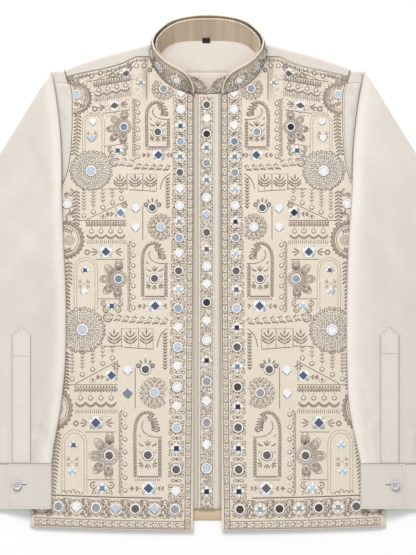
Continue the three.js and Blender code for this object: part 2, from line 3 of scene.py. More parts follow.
import bpy
import numpy as np
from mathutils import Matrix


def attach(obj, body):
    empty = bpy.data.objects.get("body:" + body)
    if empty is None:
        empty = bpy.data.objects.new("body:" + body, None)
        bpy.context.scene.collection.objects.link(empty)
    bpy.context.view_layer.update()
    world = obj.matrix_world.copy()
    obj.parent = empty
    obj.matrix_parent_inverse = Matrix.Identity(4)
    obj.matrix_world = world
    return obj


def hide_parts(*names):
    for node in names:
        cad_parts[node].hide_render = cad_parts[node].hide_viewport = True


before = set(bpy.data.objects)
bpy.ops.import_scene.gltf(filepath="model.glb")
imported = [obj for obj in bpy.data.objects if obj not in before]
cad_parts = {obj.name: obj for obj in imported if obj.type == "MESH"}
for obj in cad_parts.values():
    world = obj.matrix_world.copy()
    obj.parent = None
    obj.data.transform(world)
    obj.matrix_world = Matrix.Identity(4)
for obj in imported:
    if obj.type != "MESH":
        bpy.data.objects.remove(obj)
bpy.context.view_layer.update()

# The table and the light: the set lies flat on a pale surface and is seen from straight above. An
# even sky and one broad light beyond the collars give soft shading and a faint shadow at the hems.
TABLE_REACH = 30
TABLE_Z = -0.0003
VIEW_HEIGHT = 0.8325
CAMERA_DISTANCE = 9.0
VIEW_CENTRE_Y = -0.0071
SKY_STRENGTH = 0.70
LIGHT_POWER = 150
LIGHT_PLACE = (-0.7, 3.4, 3.4)
LIGHT_SIZE = 1.6


def dye(code):
    """A colour written as six hexadecimal digits, as linear red, green, blue and alpha."""
    channels = [int(code[i:i + 2], 16) / 255 for i in (0, 2, 4)]
    linear = [c / 12.92 if c <= 0.04045 else ((c + 0.055) / 1.055) ** 2.4 for c in channels]
    return (*linear, 1.0)


def add_node(tree, kind, inputs=(), **settings):
    """Adds a node to a tree. inputs gives each input's value, or the output that feeds it."""
    made = tree.nodes.new(kind)
    for key, value in settings.items():
        setattr(made, key, value)
    for key, value in dict(inputs).items():
        if isinstance(value, bpy.types.NodeSocket):
            tree.links.new(value, made.inputs[key])
        else:
            made.inputs[key].default_value = value
    return made


def new_material(name, **principled):
    """A material with a Principled surface, whose constant inputs are given by name."""
    material = bpy.data.materials.new(name)
    material.use_nodes = True
    tree = material.node_tree
    tree.nodes.clear()
    values = {key.replace("_", " "): value for key, value in principled.items()}
    surface = add_node(tree, "ShaderNodeBsdfPrincipled", values)
    add_node(tree, "ShaderNodeOutputMaterial", {"Surface": surface.outputs["BSDF"]})
    return material, tree, surface


table_mesh = bpy.data.meshes.new("table")
corners = ((-1, -1), (1, -1), (1, 1), (-1, 1))
table_mesh.from_pydata([(x * TABLE_REACH, y * TABLE_REACH, TABLE_Z) for x, y in corners], [], [(0, 1, 2, 3)])
table_top = bpy.data.objects.new("table", table_mesh)
bpy.context.collection.objects.link(table_top)
table_finish, _, _ = new_material("pale table", Base_Color=(0.93, 0.93, 0.935, 1), Roughness=0.9)
table_mesh.materials.append(table_finish)

scene = bpy.context.scene
scene.view_settings.view_transform = "Standard"
scene.world = bpy.data.worlds.new("studio sky")
scene.world.use_nodes = True
sky = scene.world.node_tree.nodes["Background"].inputs
sky["Color"].default_value = (1, 1, 1, 1)
sky["Strength"].default_value = SKY_STRENGTH

light = bpy.data.objects.new("broad light", bpy.data.lights.new("broad light", "AREA"))
light.data.energy = LIGHT_POWER
light.data.size = LIGHT_SIZE
light.location = LIGHT_PLACE
light.rotation_euler = (
    -math.atan2(LIGHT_PLACE[1], LIGHT_PLACE[2]), math.atan2(LIGHT_PLACE[0], LIGHT_PLACE[2]), 0)
bpy.context.collection.objects.link(light)

camera = bpy.data.objects.new("camera", bpy.data.cameras.new("camera"))
camera.data.sensor_width = 36
camera.data.lens = 36 * CAMERA_DISTANCE / VIEW_HEIGHT
camera.data.clip_end = 100
camera.location = (0, VIEW_CENTRE_Y, CAMERA_DISTANCE)
bpy.context.collection.objects.link(camera)
scene.camera = camera

# The jacket's back: one cream panel that runs over both shoulders and is sewn to the fronts ahead
# of the shoulder line. It lies on the table, lining up, under everything else.
MM = 0.001
SEAM = 0.3
JACKET_CLOTH = 1.6
KURTA_CLOTH = 1.2
KURTA_BACK_Z = JACKET_CLOTH + SEAM
KURTA_FRONT_Z = KURTA_BACK_Z + KURTA_CLOTH + SEAM
JACKET_FRONT_Z = KURTA_FRONT_Z + KURTA_CLOTH + SEAM
SLEEVE_Z = JACKET_FRONT_Z + JACKET_CLOTH + SEAM
JACKET_BACK_HEM_Y = -371
SHOULDER_START = {"jacket": 88.8, "kurta": 84.5}
FAR = 1e4
PANEL_PITCH = 6

# The edge down one side: shoulder point, armhole, underarm, side seam and hem corner.
JACKET_SIDE = [
    (215.1, 305), (211.1, 293), (206.4, 277), (204.5, 262), (204.3, 240), (204.5, 218), (206.4, 184),
    (208.5, 167), (211.8, 151), (217.8, 133.6), (219.2, 127), (238, -70), (267, -380),
]
# Half the neck, then the shoulder line.
JACKET_BACK_TOP = [
    (0, 356.5), (45, 355), (62, 351.5), (74, 348), (84, 344.3), (162, 322.9), (215.1, 305),
]
# The neckline of a front, then the seam ahead of the shoulder.
JACKET_FRONT_TOP = [
    (20.3, 268), (34.4, 271.4), (43.5, 274.7), (59.1, 283.1), (69.5, 292.3), (77.3, 302.6),
    (82.5, 311.8), (86.4, 319.6), (89.4, 324.2), (105.3, 324.4), (116, 320.3), (126.5, 315.1),
    (153, 307.1), (179.6, 301.7), (211.5, 294.2),
]


def curve_through(places, values):
    """A smooth curve that meets each value at its place and doesn't swing past them."""
    order = np.argsort(places)
    x = np.asarray(places, float)[order]
    y = np.asarray(values, float)[order]
    rise = np.diff(y) / np.diff(x)
    slope = np.r_[rise[0], np.zeros(len(x) - 2), rise[-1]]
    same = rise[:-1] * rise[1:] > 0
    total = np.where(same, rise[:-1] + rise[1:], 1)
    slope[1:-1] = np.where(same, 2 * rise[:-1] * rise[1:] / total, 0)

    def read(at):
        at = np.clip(at, x[0], x[-1])
        i = np.clip(np.searchsorted(x, at), 1, len(x) - 1)
        span = x[i] - x[i - 1]
        t = (at - x[i - 1]) / span
        step = t * t * (3 - 2 * t)
        bend = t * (1 - t) * span * ((1 - t) * slope[i - 1] - t * slope[i])
        return y[i - 1] + (y[i] - y[i - 1]) * step + bend

    return read


def outline(rows, of_y=False):
    """An outline's y as a function of x, or its x as a function of y."""
    x, y = zip(*rows)
    return curve_through(y, x) if of_y else curve_through(x, y)


def smooth(value, low, high):
    """0 below low, 1 above high, and a soft step between them."""
    t = np.clip((value - low) / (high - low), 0, 1)
    return t * t * (3 - 2 * t)


def strips(span, pitch=PANEL_PITCH, rim=0.9):
    """Fractions across a piece: even steps, and one narrow step along each edge."""
    inside = np.linspace(0, 1, max(3, round(span / pitch)) + 1)[1:-1]
    return np.r_[0, rim / span, inside, 1 - rim / span, 1]


def spread(columns, rows, left, right, top, bottom):
    """Places over a flat piece, whose sides are given as x for y and its ends as y for x."""
    s, v = np.meshgrid(columns, rows)
    highest = top(left(FAR) + (right(FAR) - left(FAR)) * s)
    lowest = bottom(left(-FAR) + (right(-FAR) - left(-FAR)) * s)
    y = highest + (lowest - highest) * v
    x = left(y) + (right(y) - left(y)) * s
    return x, y


def level(value):
    """An edge that keeps one value all along."""
    return lambda at: value + 0 * at


def wall_faces(rows, columns, is_round):
    """The faces of a closed wall between two grids: outer face, inner face and edges."""
    last = columns if is_round else columns - 1

    def at(layer, r, c):
        return (layer * rows + r) * columns + c % columns

    def quads(*corners):
        return np.stack(np.broadcast_arrays(*corners), -1).reshape(-1, 4)

    r, c = np.meshgrid(np.arange(rows - 1), np.arange(last), indexing="ij")
    outside = quads(at(0, r, c), at(0, r + 1, c), at(0, r + 1, c + 1), at(0, r, c + 1))
    inside = quads(at(1, r, c), at(1, r, c + 1), at(1, r + 1, c + 1), at(1, r + 1, c))
    c = np.arange(last)
    end = rows - 1
    edges = [
        quads(at(0, 0, c), at(0, 0, c + 1), at(1, 0, c + 1), at(1, 0, c)),
        quads(at(0, end, c + 1), at(0, end, c), at(1, end, c), at(1, end, c + 1)),
    ]
    if not is_round:
        r = np.arange(rows - 1)
        edges.append(quads(at(0, r + 1, 0), at(0, r, 0), at(1, r, 0), at(1, r + 1, 0)))
        edges.append(quads(at(0, r, last), at(0, r + 1, last), at(1, r + 1, last), at(1, r, last)))
    return outside, inside, np.concatenate(edges)


def wall(outer, inner, is_round=False, finishes=(0, 0, 0)):
    """A closed wall's points, faces and finish numbers for its outer face, inner face and edges."""
    rows, columns = outer.shape[:2]
    groups = wall_faces(rows, columns, is_round)
    points = np.concatenate([outer.reshape(-1, 3), inner.reshape(-1, 3)])
    faces = np.concatenate(groups)
    finish = np.concatenate([np.full(len(g), f) for g, f in zip(groups, finishes)])
    a, b, c, d = (points[faces[:, i]] for i in range(4))
    volume = np.einsum("ij,ij->", a, np.cross(b, c)) + np.einsum("ij,ij->", a, np.cross(c, d))
    return points, faces if volume > 0 else faces[:, ::-1], finish


def sheet_wall(x, y, over, under, finishes=(0, 0, 0)):
    """A flat piece as a wall, its upper face rounded down a little at the edges."""
    top = np.array(np.broadcast_to(over, x.shape), float)
    low = np.broadcast_to(under, x.shape)
    rim = np.zeros(x.shape, bool)
    rim[[0, -1], :] = True
    rim[:, [0, -1]] = True
    top = np.where(rim, low + 0.55 * (top - low), top)
    return wall(np.dstack([x, y, top]), np.dstack([x, y, low]), finishes=finishes)


def make_piece(name, walls, materials, sharp=50):
    """One mesh object from walls in millimetres, with its materials."""
    points, faces, finish, count = [], [], [], 0
    for p, f, m in walls:
        points.append(p)
        faces.append(f + count)
        finish.append(m)
        count += len(p)
    mesh = bpy.data.meshes.new(name)
    mesh.from_pydata((np.concatenate(points) * MM).tolist(), [], np.concatenate(faces).tolist())
    for material in materials:
        mesh.materials.append(material)
    mesh.polygons.foreach_set("material_index", np.concatenate(finish).astype(np.int32))
    mesh.shade_smooth()
    mesh.set_sharp_from_angle(angle=math.radians(sharp))
    made = bpy.data.objects.new(name, mesh)
    bpy.context.collection.objects.link(made)
    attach(made, "root")
    return made


def shoulder_wrap(sign, stations, shoulder, seam, low_z, high_z, cloth):
    """Cloth from the back layer round the shoulder line and forward to the seam in front."""
    radius = (high_z + cloth - low_z) / 2
    reach = 6
    turn = np.linspace(-math.pi / 2, math.pi / 2, 13)
    grids = []
    for r in (radius, radius - cloth):
        centre_y = shoulder(stations)[:, None] - radius
        y_turn = centre_y + r * np.cos(turn)
        z_turn = low_z + radius + r * np.sin(turn)
        ends = np.linspace(0, 1, 8)[1:]
        y_front = y_turn[:, -1:] + (seam(stations)[:, None] + 2 * SEAM - y_turn[:, -1:]) * ends
        y = np.concatenate([centre_y - reach, y_turn, y_front], 1)
        z = np.broadcast_to(np.r_[z_turn[0], z_turn, np.full(7, z_turn[-1])], y.shape)
        x = np.broadcast_to(sign * stations[:, None], y.shape)
        grids.append(np.dstack([x, y, z]))
    return wall(*grids)


def paint_shading_and_tone(piece, of_place):
    """Stores painted shading and tone: how much darker than its cloth, or paler where negative, a piece
    looks at each point. Most of it is painted shade and painted highlight.
    """
    places = np.empty(len(piece.data.vertices) * 3, np.float32)
    piece.data.vertices.foreach_get("co", places)
    x, y, z = places.reshape(-1, 3).T / MM
    tone = (of_place(x, y, z) + 0 * x).astype(np.float32)
    piece.data.attributes.new("tone", "FLOAT", "POINT").data.foreach_set("value", tone)


def weave_group():
    """Spun threads crossing each other: fine streaks both ways, and broad soft unevenness."""
    tree = bpy.data.node_groups.new("spun weave", "ShaderNodeTree")
    tree.interface.new_socket("Vector", in_out="INPUT", socket_type="NodeSocketVector")
    for name, value in (("Threads", 1600.0), ("Slub", 0.5), ("Mottle", 0.4)):
        socket = tree.interface.new_socket(name, in_out="INPUT", socket_type="NodeSocketFloat")
        socket.default_value = value
    for name in ("Height", "Shade"):
        tree.interface.new_socket(name, in_out="OUTPUT", socket_type="NodeSocketFloat")
    given = add_node(tree, "NodeGroupInput")
    streaks = []
    for long_way in (0, 1):
        stretch = [1.0, 1.0, 0.3]
        stretch[long_way] = 0.07
        place = add_node(tree, "ShaderNodeMapping", {
            "Vector": given.outputs["Vector"], "Scale": stretch, "Location": (long_way * 3.7, 1.3, 0)})
        streaks.append(add_node(tree, "ShaderNodeTexNoise", {
            "Vector": place.outputs[0], "Scale": given.outputs["Threads"], "Detail": 2.0, "Roughness": 0.6}))
    crossed = add_node(tree, "ShaderNodeMath", {0: streaks[0].outputs[0], 1: streaks[1].outputs[0]})
    cloudy = add_node(tree, "ShaderNodeTexNoise", {
        "Vector": given.outputs["Vector"], "Scale": 14.0, "Detail": 4.0, "Roughness": 0.55})
    fine = add_node(tree, "ShaderNodeMapRange", {
        "Value": crossed.outputs[0], "From Min": 0.7, "From Max": 1.3, "To Min": 0.0, "To Max": 1.0})
    slub = add_node(
        tree, "ShaderNodeMath", {0: fine.outputs[0], 1: given.outputs["Slub"]}, operation="MULTIPLY")
    broad = add_node(
        tree, "ShaderNodeMath", {0: cloudy.outputs[0], 1: given.outputs["Mottle"]}, operation="MULTIPLY")
    shade = add_node(tree, "ShaderNodeMath", {0: slub.outputs[0], 1: broad.outputs[0]})
    add_node(tree, "NodeGroupOutput", {"Height": fine.outputs[0], "Shade": shade.outputs[0]})
    return tree


spun_weave = weave_group()


def cloth(name, light_shade, dark_shade, threads=1600, slub=0.5, mottle=0.5, bump=0.00025, **finish):
    """Woven cloth: two shades of one colour, mixed by its threads, with a fine bump."""
    constants = {"Roughness": 0.62, "Sheen_Weight": 0.15, "Sheen_Roughness": 0.4, **finish}
    material, tree, surface = new_material(name, **constants)
    place = add_node(tree, "ShaderNodeTexCoord")
    weave = add_node(tree, "ShaderNodeGroup", node_tree=spun_weave)
    tree.links.new(place.outputs["Object"], weave.inputs["Vector"])
    for key, value in (("Threads", threads), ("Slub", slub), ("Mottle", mottle)):
        weave.inputs[key].default_value = value
    mix = add_node(tree, "ShaderNodeMix", {
        0: weave.outputs["Shade"], 6: dye(light_shade), 7: dye(dark_shade)}, data_type="RGBA")
    # The tone attribute darkens the cloth's colour, warmer as it darkens, and pales it where negative:
    # mostly painted shade and painted highlight.
    tone = add_node(tree, "ShaderNodeAttribute", attribute_name="tone")
    painted_shading_factor = add_node(tree, "ShaderNodeVectorMath", {
        0: tone.outputs["Fac"], 1: (-1.0, -1.1, -1.25), 2: (1.0, 1.0, 1.0)}, operation="MULTIPLY_ADD")
    painted_shading_colour = add_node(tree, "ShaderNodeVectorMath", {
        0: mix.outputs[2], 1: painted_shading_factor.outputs[0]}, operation="MULTIPLY")
    relief = add_node(tree, "ShaderNodeBump", {
        "Height": weave.outputs["Height"], "Distance": bump, "Strength": 0.5})
    tree.links.new(painted_shading_colour.outputs[0], surface.inputs["Base Color"])
    tree.links.new(relief.outputs[0], surface.inputs["Normal"])
    return material


ivory_cloth = cloth("ivory silk blend", "ddd7cf", "ccc3b8", Sheen_Weight=0.3, Roughness=0.5)
cream_cloth = cloth("cream silk blend", "e7dccd", "d4c6b3")
lining_cloth = cloth("beige lining", "d9c4a6", "c4ab8b", Roughness=0.7)

jacket_side_x = outline(JACKET_SIDE, of_y=True)
jacket_back_top_y = outline(JACKET_BACK_TOP)
jacket_front_top_y = outline(JACKET_FRONT_TOP)
x, y = spread(
    strips(440, 9), strips(720, 9),
    left=lambda y: -jacket_side_x(y), right=jacket_side_x,
    top=lambda x: jacket_back_top_y(abs(x)) - 3 * smooth(abs(x), 80, 90),
    bottom=level(JACKET_BACK_HEM_Y))
jacket_back_walls = [sheet_wall(x, y, JACKET_CLOTH, 0, finishes=(1, 0, 0))]
for sign in (-1, 1):
    stations = np.linspace(SHOULDER_START["jacket"], 210.5, 40)
    jacket_back_walls.append(shoulder_wrap(
        sign, stations, jacket_back_top_y, jacket_front_top_y, 0, JACKET_FRONT_Z, JACKET_CLOTH))
jacket_back = make_piece("jacket_back_cloth", jacket_back_walls, [ivory_cloth, lining_cloth])
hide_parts("jacket_back")

# The kurta's body: a back below a straight seam, a yoke over both shoulders, and two fronts under
# the placket. All are thin ivory silk blend, and the jacket hides most of them.
KURTA_HEM_Y = -353.6
ARMHOLE_GAP = 0.9
PLACKET_CENTRE_X = -2
PLACKET_WIDTH = 24
PLACKET_TOP_Y = 266
PLACKET_CLOTH = 1.4
YOKE_OUTER_X = 231.4

KURTA_SIDE = [(213, 131), (206, 116), (225, -70), (252, -354)]
KURTA_YOKE_TOP = [
    (0, 351.5), (43.5, 350.5), (60, 346.5), (72, 342.5), (84, 339.8), (162, 318.6), (213, 301.6),
    (232, 301.8),
]
KURTA_YOKE_SEAM = [(0, 300.7), (80, 300.7), (232, 290)]
# The neckline of a front, then the front seam of the yoke.
KURTA_FRONT_TOP = [
    (0, 270.2), (10, 269.8), (21.3, 271), (34.4, 275.2), (43.5, 278.6), (57.3, 286.7), (67, 295.5),
    (74.2, 305), (78, 313), (81, 319), (84.5, 322.3), (162, 301.3), (213, 284.3), (232, 284.6),
]
# A sleeve's sections, from the fold beside the body to the outer fold. The first one runs up the
# armhole, and the others turn until they lie across the sleeve. bow bends a section's middle.
SLEEVE_SECTIONS = [
    # fold on the right and on the left, fold y, outer x and y, bow
    (219.2, 216.2, 133.6, 234.2, 303, 4.5), (219.1, 216.1, 130, 247, 284, 2.5),
    (218.9, 215.7, 125, 268, 250, 1.5), (218.7, 215.2, 118, 292, 211, 0.8),
    (218.3, 214.6, 108, 318, 169, 0), (217.8, 213.8, 94, 340, 128, 0),
    (217.1, 212.6, 76, 358, 90, 0), (216.3, 210.6, 49, 371, 50, 0),
    (214.4, 209, 12, 378.4, 12, 0), (212.8, 207.9, -25, 380.4, -25, 0),
    (212.2, 207.3, -62, 378.6, -62, 0), (212.3, 207.3, -100, 373.6, -100, 0),
    (213.6, 207.8, -137, 368.8, -137, 0), (216.4, 208.7, -170, 365, -170, 0),
    (219.8, 211, -200, 361.4, -200, 0), (223.4, 214.6, -222, 358.8, -222, 0),
    (227.6, 219.2, -244, 356.6, -244, 0), (231, 223.8, -264, 354.8, -264, 0),
    (233.6, 228.2, -285.1, 354, -285.1, 0),
]
FOLD_COLUMN = {"right": 0, "left": 1}
SIDES = (("right", -1), ("left", 1))

kurta_seam_x = outline(KURTA_SIDE, of_y=True)
kurta_yoke_top_y = outline(KURTA_YOKE_TOP)
kurta_yoke_seam_y = outline(KURTA_YOKE_SEAM)
kurta_front_top_y = outline(KURTA_FRONT_TOP)


def kurta_side_x(side, y):
    """The kurta's edge: along the armhole end of the sleeve, then down the side seam."""
    armhole = SLEEVE_SECTIONS[0]
    underarm = armhole[FOLD_COLUMN[side]]
    t = np.clip((y - armhole[2]) / (armhole[4] - armhole[2]), 0, 1)
    along_armhole = underarm + (armhole[3] - underarm) * t - armhole[5] * 4 * t * (1 - t)
    along_seam = np.minimum(kurta_seam_x(y), underarm - ARMHOLE_GAP)
    return np.where(t > 0, along_armhole - ARMHOLE_GAP, along_seam)


x, y = spread(
    strips(440, 9), strips(650, 9),
    left=lambda y: -kurta_side_x("right", y), right=lambda y: kurta_side_x("left", y),
    top=lambda x: kurta_yoke_seam_y(abs(x)) - SEAM, bottom=level(KURTA_HEM_Y))
kurta_back = make_piece(
    "kurta_back_cloth", [sheet_wall(x, y, KURTA_BACK_Z + KURTA_CLOTH, KURTA_BACK_Z)], [ivory_cloth])
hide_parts("kurta_back")

x, y = spread(
    strips(460, 5), strips(50, 5), left=level(-YOKE_OUTER_X), right=level(YOKE_OUTER_X),
    top=lambda x: kurta_yoke_top_y(abs(x)) - 1.2 * smooth(abs(x), 78, 84),
    bottom=lambda x: kurta_yoke_seam_y(abs(x)))
yoke_walls = [sheet_wall(x, y, KURTA_BACK_Z + KURTA_CLOTH, KURTA_BACK_Z)]
for sign in (-1, 1):
    stations = np.linspace(SHOULDER_START["kurta"], YOKE_OUTER_X - 1, 40)
    yoke_walls.append(shoulder_wrap(
        sign, stations, kurta_yoke_top_y, kurta_front_top_y, KURTA_BACK_Z, KURTA_FRONT_Z, KURTA_CLOTH))
kurta_yoke = make_piece("kurta_yoke_cloth", yoke_walls, [ivory_cloth])
paint_shading_and_tone(kurta_yoke, lambda x, y, z: np.where(abs(x) < 90, -0.07, -0.03))
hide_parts("kurta_yoke")


def kurta_front_painted_light_and_shade(x, y, z):
    """Painted shade in the narrow gaps beside the placket, where the jacket shades it, with painted shadow
    lines at the edges; a painted highlight beside the placket on the left front; a painted shade streak down
    the fold by each armhole; a little paler elsewhere.
    """
    right = 0.14 + 0.24 * np.exp(-((x + 14.8) / 1.0) ** 2) + 0.2 * np.exp(-((x + 21) / 1.2) ** 2)
    left = -0.06 + 0.5 * smooth(x, 12, 20.5)
    fold = 0.12 * np.exp(-((abs(x) - 214 - (281 - y) * 0.05) / 1.8) ** 2) * smooth(y, 190, 225)
    placket_gap_shade = np.where(x < PLACKET_CENTRE_X, right, left)
    return np.where(abs(x) < 24, placket_gap_shade, fold - 0.05)


for side, sign in SIDES:
    x, y = spread(
        np.unique(np.r_[strips(232, 7), strips(32, 1.5) * 32 / 232]), strips(620, 7),
        left=level(PLACKET_CENTRE_X + sign * SEAM), right=lambda y: sign * kurta_side_x(side, y),
        top=lambda x: kurta_front_top_y(abs(x)), bottom=level(KURTA_HEM_Y))
    kurta_front = make_piece(
        f"kurta_front_cloth_{side}",
        [sheet_wall(x, y, KURTA_FRONT_Z + KURTA_CLOTH, KURTA_FRONT_Z)], [ivory_cloth])
    paint_shading_and_tone(kurta_front, kurta_front_painted_light_and_shade)
    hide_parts(f"kurta_front_{side}")

# The kurta's front placket: a folded strip of cream cloth down the middle of the front, covered
# in thread work, with one small mirror after another.
x, y = spread(
    strips(PLACKET_WIDTH, 3), strips(PLACKET_TOP_Y - KURTA_HEM_Y, 5),
    left=level(PLACKET_CENTRE_X - PLACKET_WIDTH / 2), right=level(PLACKET_CENTRE_X + PLACKET_WIDTH / 2),
    top=level(PLACKET_TOP_Y), bottom=level(KURTA_HEM_Y))
placket_z = KURTA_FRONT_Z + KURTA_CLOTH + SEAM
placket = make_piece(
    "kurta_placket_cloth", [sheet_wall(x, y, placket_z + PLACKET_CLOTH, placket_z)], [cream_cloth])
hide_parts("kurta_placket")

# The jacket's fronts: cream panels with a straight front edge and a stand collar above, covered in
# thread work. They keep broad soft ridges where the set is laid flat, and turn down at the sides.
JACKET_HEM_Y = -386.6
HEM_CORNER_RISE = 6.7
JACKET_FRONT_EDGE = {"right": 22.2, "left": 20.3}
FRONT_WIDEST = 267
SHOULDER_END_Y = 294
# From x y, to x y, half width, height.
FRONT_FOLDS = [
    (120, 230, 90, 60, 34, 1.1), (150, 20, 176, -180, 38, 1.2), (70, -60, 84, -260, 30, 0.9),
]


def ridges(folds, x, y):
    """The height that soft ridges add at a place. A negative height is a trough."""
    total = np.zeros(np.broadcast(x, y).shape)
    for x1, y1, x2, y2, width, height in folds:
        run_x, run_y = x2 - x1, y2 - y1
        t = np.clip(((x - x1) * run_x + (y - y1) * run_y) / (run_x ** 2 + run_y ** 2), 0, 1)
        distance = np.hypot(x - x1 - t * run_x, y - y1 - t * run_y)
        total = total + height * np.exp(-(distance / width) ** 2)
    return total


def front_relief(x, y):
    """The upper face of a jacket front: soft ridges, and a turn down along the side seam."""
    from_side = jacket_side_x(y) - x
    inside = smooth(x, 40, 70) * smooth(from_side, 20, 60)
    ends = smooth(y, JACKET_HEM_Y + 10, JACKET_HEM_Y + 70) * smooth(265 - y, 0, 50)
    turn = (2 * KURTA_CLOTH + 2 * SEAM) * (1 - smooth(from_side, 0.5, 8)) * smooth(112 - y, 0, 20)
    return inside * ends * ridges(FRONT_FOLDS, x, y) - turn


def front_height(x, y):
    """How high a jacket front's upper face lies."""
    return JACKET_FRONT_Z + JACKET_CLOTH + front_relief(np.abs(x), y)


for side, sign in SIDES:
    x, y = spread(
        strips(200, 4), strips(680, 6),
        left=level(sign * JACKET_FRONT_EDGE[side]),
        right=lambda y: sign * jacket_side_x(np.minimum(y, SHOULDER_END_Y)),
        top=lambda x: jacket_front_top_y(abs(x)),
        bottom=lambda x: JACKET_HEM_Y + HEM_CORNER_RISE * (x / FRONT_WIDEST) ** 2)
    upper = front_height(x, y)
    jacket_front = make_piece(
        f"jacket_front_cloth_{side}", [sheet_wall(x, y, upper, upper - JACKET_CLOTH)], [cream_cloth])
    # Painted shade: a soft band down the fold below each side of the collar, and a little darker near the
    # neck.
    paint_shading_and_tone(jacket_front, lambda x, y, z: (
        0.34 * np.exp(-((abs(x) - 94) / 5) ** 2) * smooth(y, 245, 290)
        + 0.1 * smooth(y, 235, 330) * smooth(-abs(x), -90, -40)))
    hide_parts(f"jacket_front_{side}")

# The stand collars: each is a stiffened band, sewn to the neckline and open in front. The outer
# side is covered in thread work, the inner one is beige, and a piped cord runs along the jacket's.
COLLAR_WALL = 2.4
COLLAR_BOW = 0.8
PIPING_RADIUS = 1.1
# Seam x y z, then free edge x y z, from a front end to the middle of the back.
JACKET_COLLAR = [
    (21.6, 267, 6.8, 21.8, 268.8, 8.8), (22.6, 267.2, 6.8, 23, 277.4, 14.6),
    (27, 268.4, 6.8, 26.8, 287.4, 21.6), (34.4, 270.2, 6.8, 33.4, 296.4, 27),
    (43.5, 273.5, 6.8, 43.5, 303.4, 30), (59.1, 281.9, 6.8, 59.1, 311.9, 30),
    (69.5, 291.1, 6.8, 72, 322.3, 30), (77.3, 301.4, 6.8, 80.4, 333, 30),
    (82.5, 310.6, 6.8, 83.4, 341.5, 29.8), (86.4, 318.4, 6.8, 83.8, 348, 29.4),
    (87.6, 326, 6.8, 81.6, 354.5, 29), (87, 335, 6.6, 77, 361, 28.4),
    (83.4, 343, 4.6, 69.6, 368.2, 27.6), (75, 347.6, 2.6, 60, 375.4, 26.8),
    (60, 352.2, 1.9, 46.5, 380.9, 26.2), (40, 354.6, 1.9, 31, 384.2, 25.6),
    (20, 355.4, 1.9, 15.5, 386.2, 25.2), (0, 355.6, 1.9, 0, 386.6, 25),
]
KURTA_COLLAR = [
    (0.6, 268.9, 4.9, 0.7, 270.8, 6.6), (1.6, 268.8, 4.9, 2, 275.2, 10),
    (5.4, 268.6, 4.9, 5.7, 281.6, 14.6), (10.6, 268.5, 4.9, 11, 287.8, 19.2),
    (18.4, 269.2, 4.9, 18.8, 292.6, 22.4), (29, 272, 4.9, 30, 296.4, 24),
    (43.5, 277.3, 4.9, 43.5, 303, 25.2), (57.3, 285.4, 4.9, 57.6, 311.8, 25.4),
    (67, 294.2, 4.9, 68.6, 321.4, 25.6), (74.2, 303.8, 4.9, 76, 332, 25.8),
    (77.6, 312.5, 4.9, 78.6, 341, 26.2), (77.6, 321, 4.6, 77.4, 349.4, 26.6),
    (72.6, 331, 3.6, 72.2, 357.4, 27), (64.6, 338.8, 3.4, 63.6, 365.4, 27.2),
    (55.6, 344.4, 3.4, 52.4, 372.4, 27.2), (43.5, 348.4, 3.4, 38, 377.4, 27),
    (22, 350, 3.4, 19, 380.2, 26.8), (0, 350.3, 3.4, 0, 380.8, 26.8),
]


def path_through(points):
    """A smooth path through points, read at fractions of the number of its stretches."""
    p = np.asarray(points, float)
    gap = np.sqrt(np.linalg.norm(np.diff(p, axis=0), axis=1))[:, None]
    slope = np.empty_like(p)
    step = np.diff(p, axis=0) / gap
    wide = gap[:-1] + gap[1:]
    slope[1:-1] = step[:-1] + step[1:] - (p[2:] - p[:-2]) / wide
    slope[0], slope[-1] = step[0], step[-1]

    def read(t):
        at = np.clip(np.asarray(t, float), 0, 1) * (len(p) - 1)
        i = np.minimum(at.astype(int), len(p) - 2)
        u = (at - i)[..., None]
        a, b = p[i], p[i + 1]
        m, n = slope[i] * gap[i], slope[i + 1] * gap[i]
        return ((2 * u ** 3 - 3 * u ** 2 + 1) * a + (u ** 3 - 2 * u ** 2 + u) * m
                + (3 * u ** 2 - 2 * u ** 3) * b + (u ** 3 - u ** 2) * n)

    return read


def collar_paths(half):
    """A collar's seam and free edge, from the right front end round to the left one."""
    rows = np.array(half, float)
    flip = np.array([-1, 1, 1])
    ways = []
    for columns in (slice(0, 3), slice(3, 6)):
        one = rows[:, columns]
        ways.append(path_through(np.concatenate([one * flip, one[:-1][::-1]])))
    return ways


def unit(vectors):
    """Vectors at length one."""
    return vectors / np.linalg.norm(vectors, axis=-1, keepdims=True)


def collar_place(half, t, h, depth=0.0):
    """Places on a collar at fraction t round it and h up it, and the directions there."""
    seam, edge = collar_paths(half)
    t, h = np.broadcast_arrays(np.asarray(t, float), np.asarray(h, float))
    nudge = 1e-3
    tangent = seam(t + nudge) - seam(t - nudge)
    into = unit(np.stack([tangent[..., 1], -tangent[..., 0], 0 * t], -1))
    low, high = seam(t), edge(t)
    place = low + (high - low) * h[..., None]
    place = place + into * (depth - COLLAR_BOW * 4 * h * (1 - h))[..., None]
    return place, into, unit(tangent), unit(high - low)


def collar(name, half, finishes):
    """A collar's band as a wall, with its outer side first."""
    t, h = np.meshgrid(np.linspace(0, 1, 241), strips(34, 3, rim=0.6), indexing="ij")
    outer, _, _, _ = collar_place(half, t, h)
    inner, _, _, _ = collar_place(half, t, h, COLLAR_WALL)
    return make_piece(name, [wall(outer, inner, finishes=(0, 1, 1))], finishes)


inner_collar_cloth = cloth("beige collar facing", "dac9b2", "c1aa91", mottle=0.6, Roughness=0.65)
worked_cloth = cloth("cream ground under thread work", "e6d9c6", "d3c2ad")
jacket_collar = collar("jacket_collar_cloth", JACKET_COLLAR, [worked_cloth, inner_collar_cloth])
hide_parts("jacket_collar")
kurta_collar = collar("kurta_collar_cloth", KURTA_COLLAR, [worked_cloth, inner_collar_cloth])
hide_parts("kurta_collar")


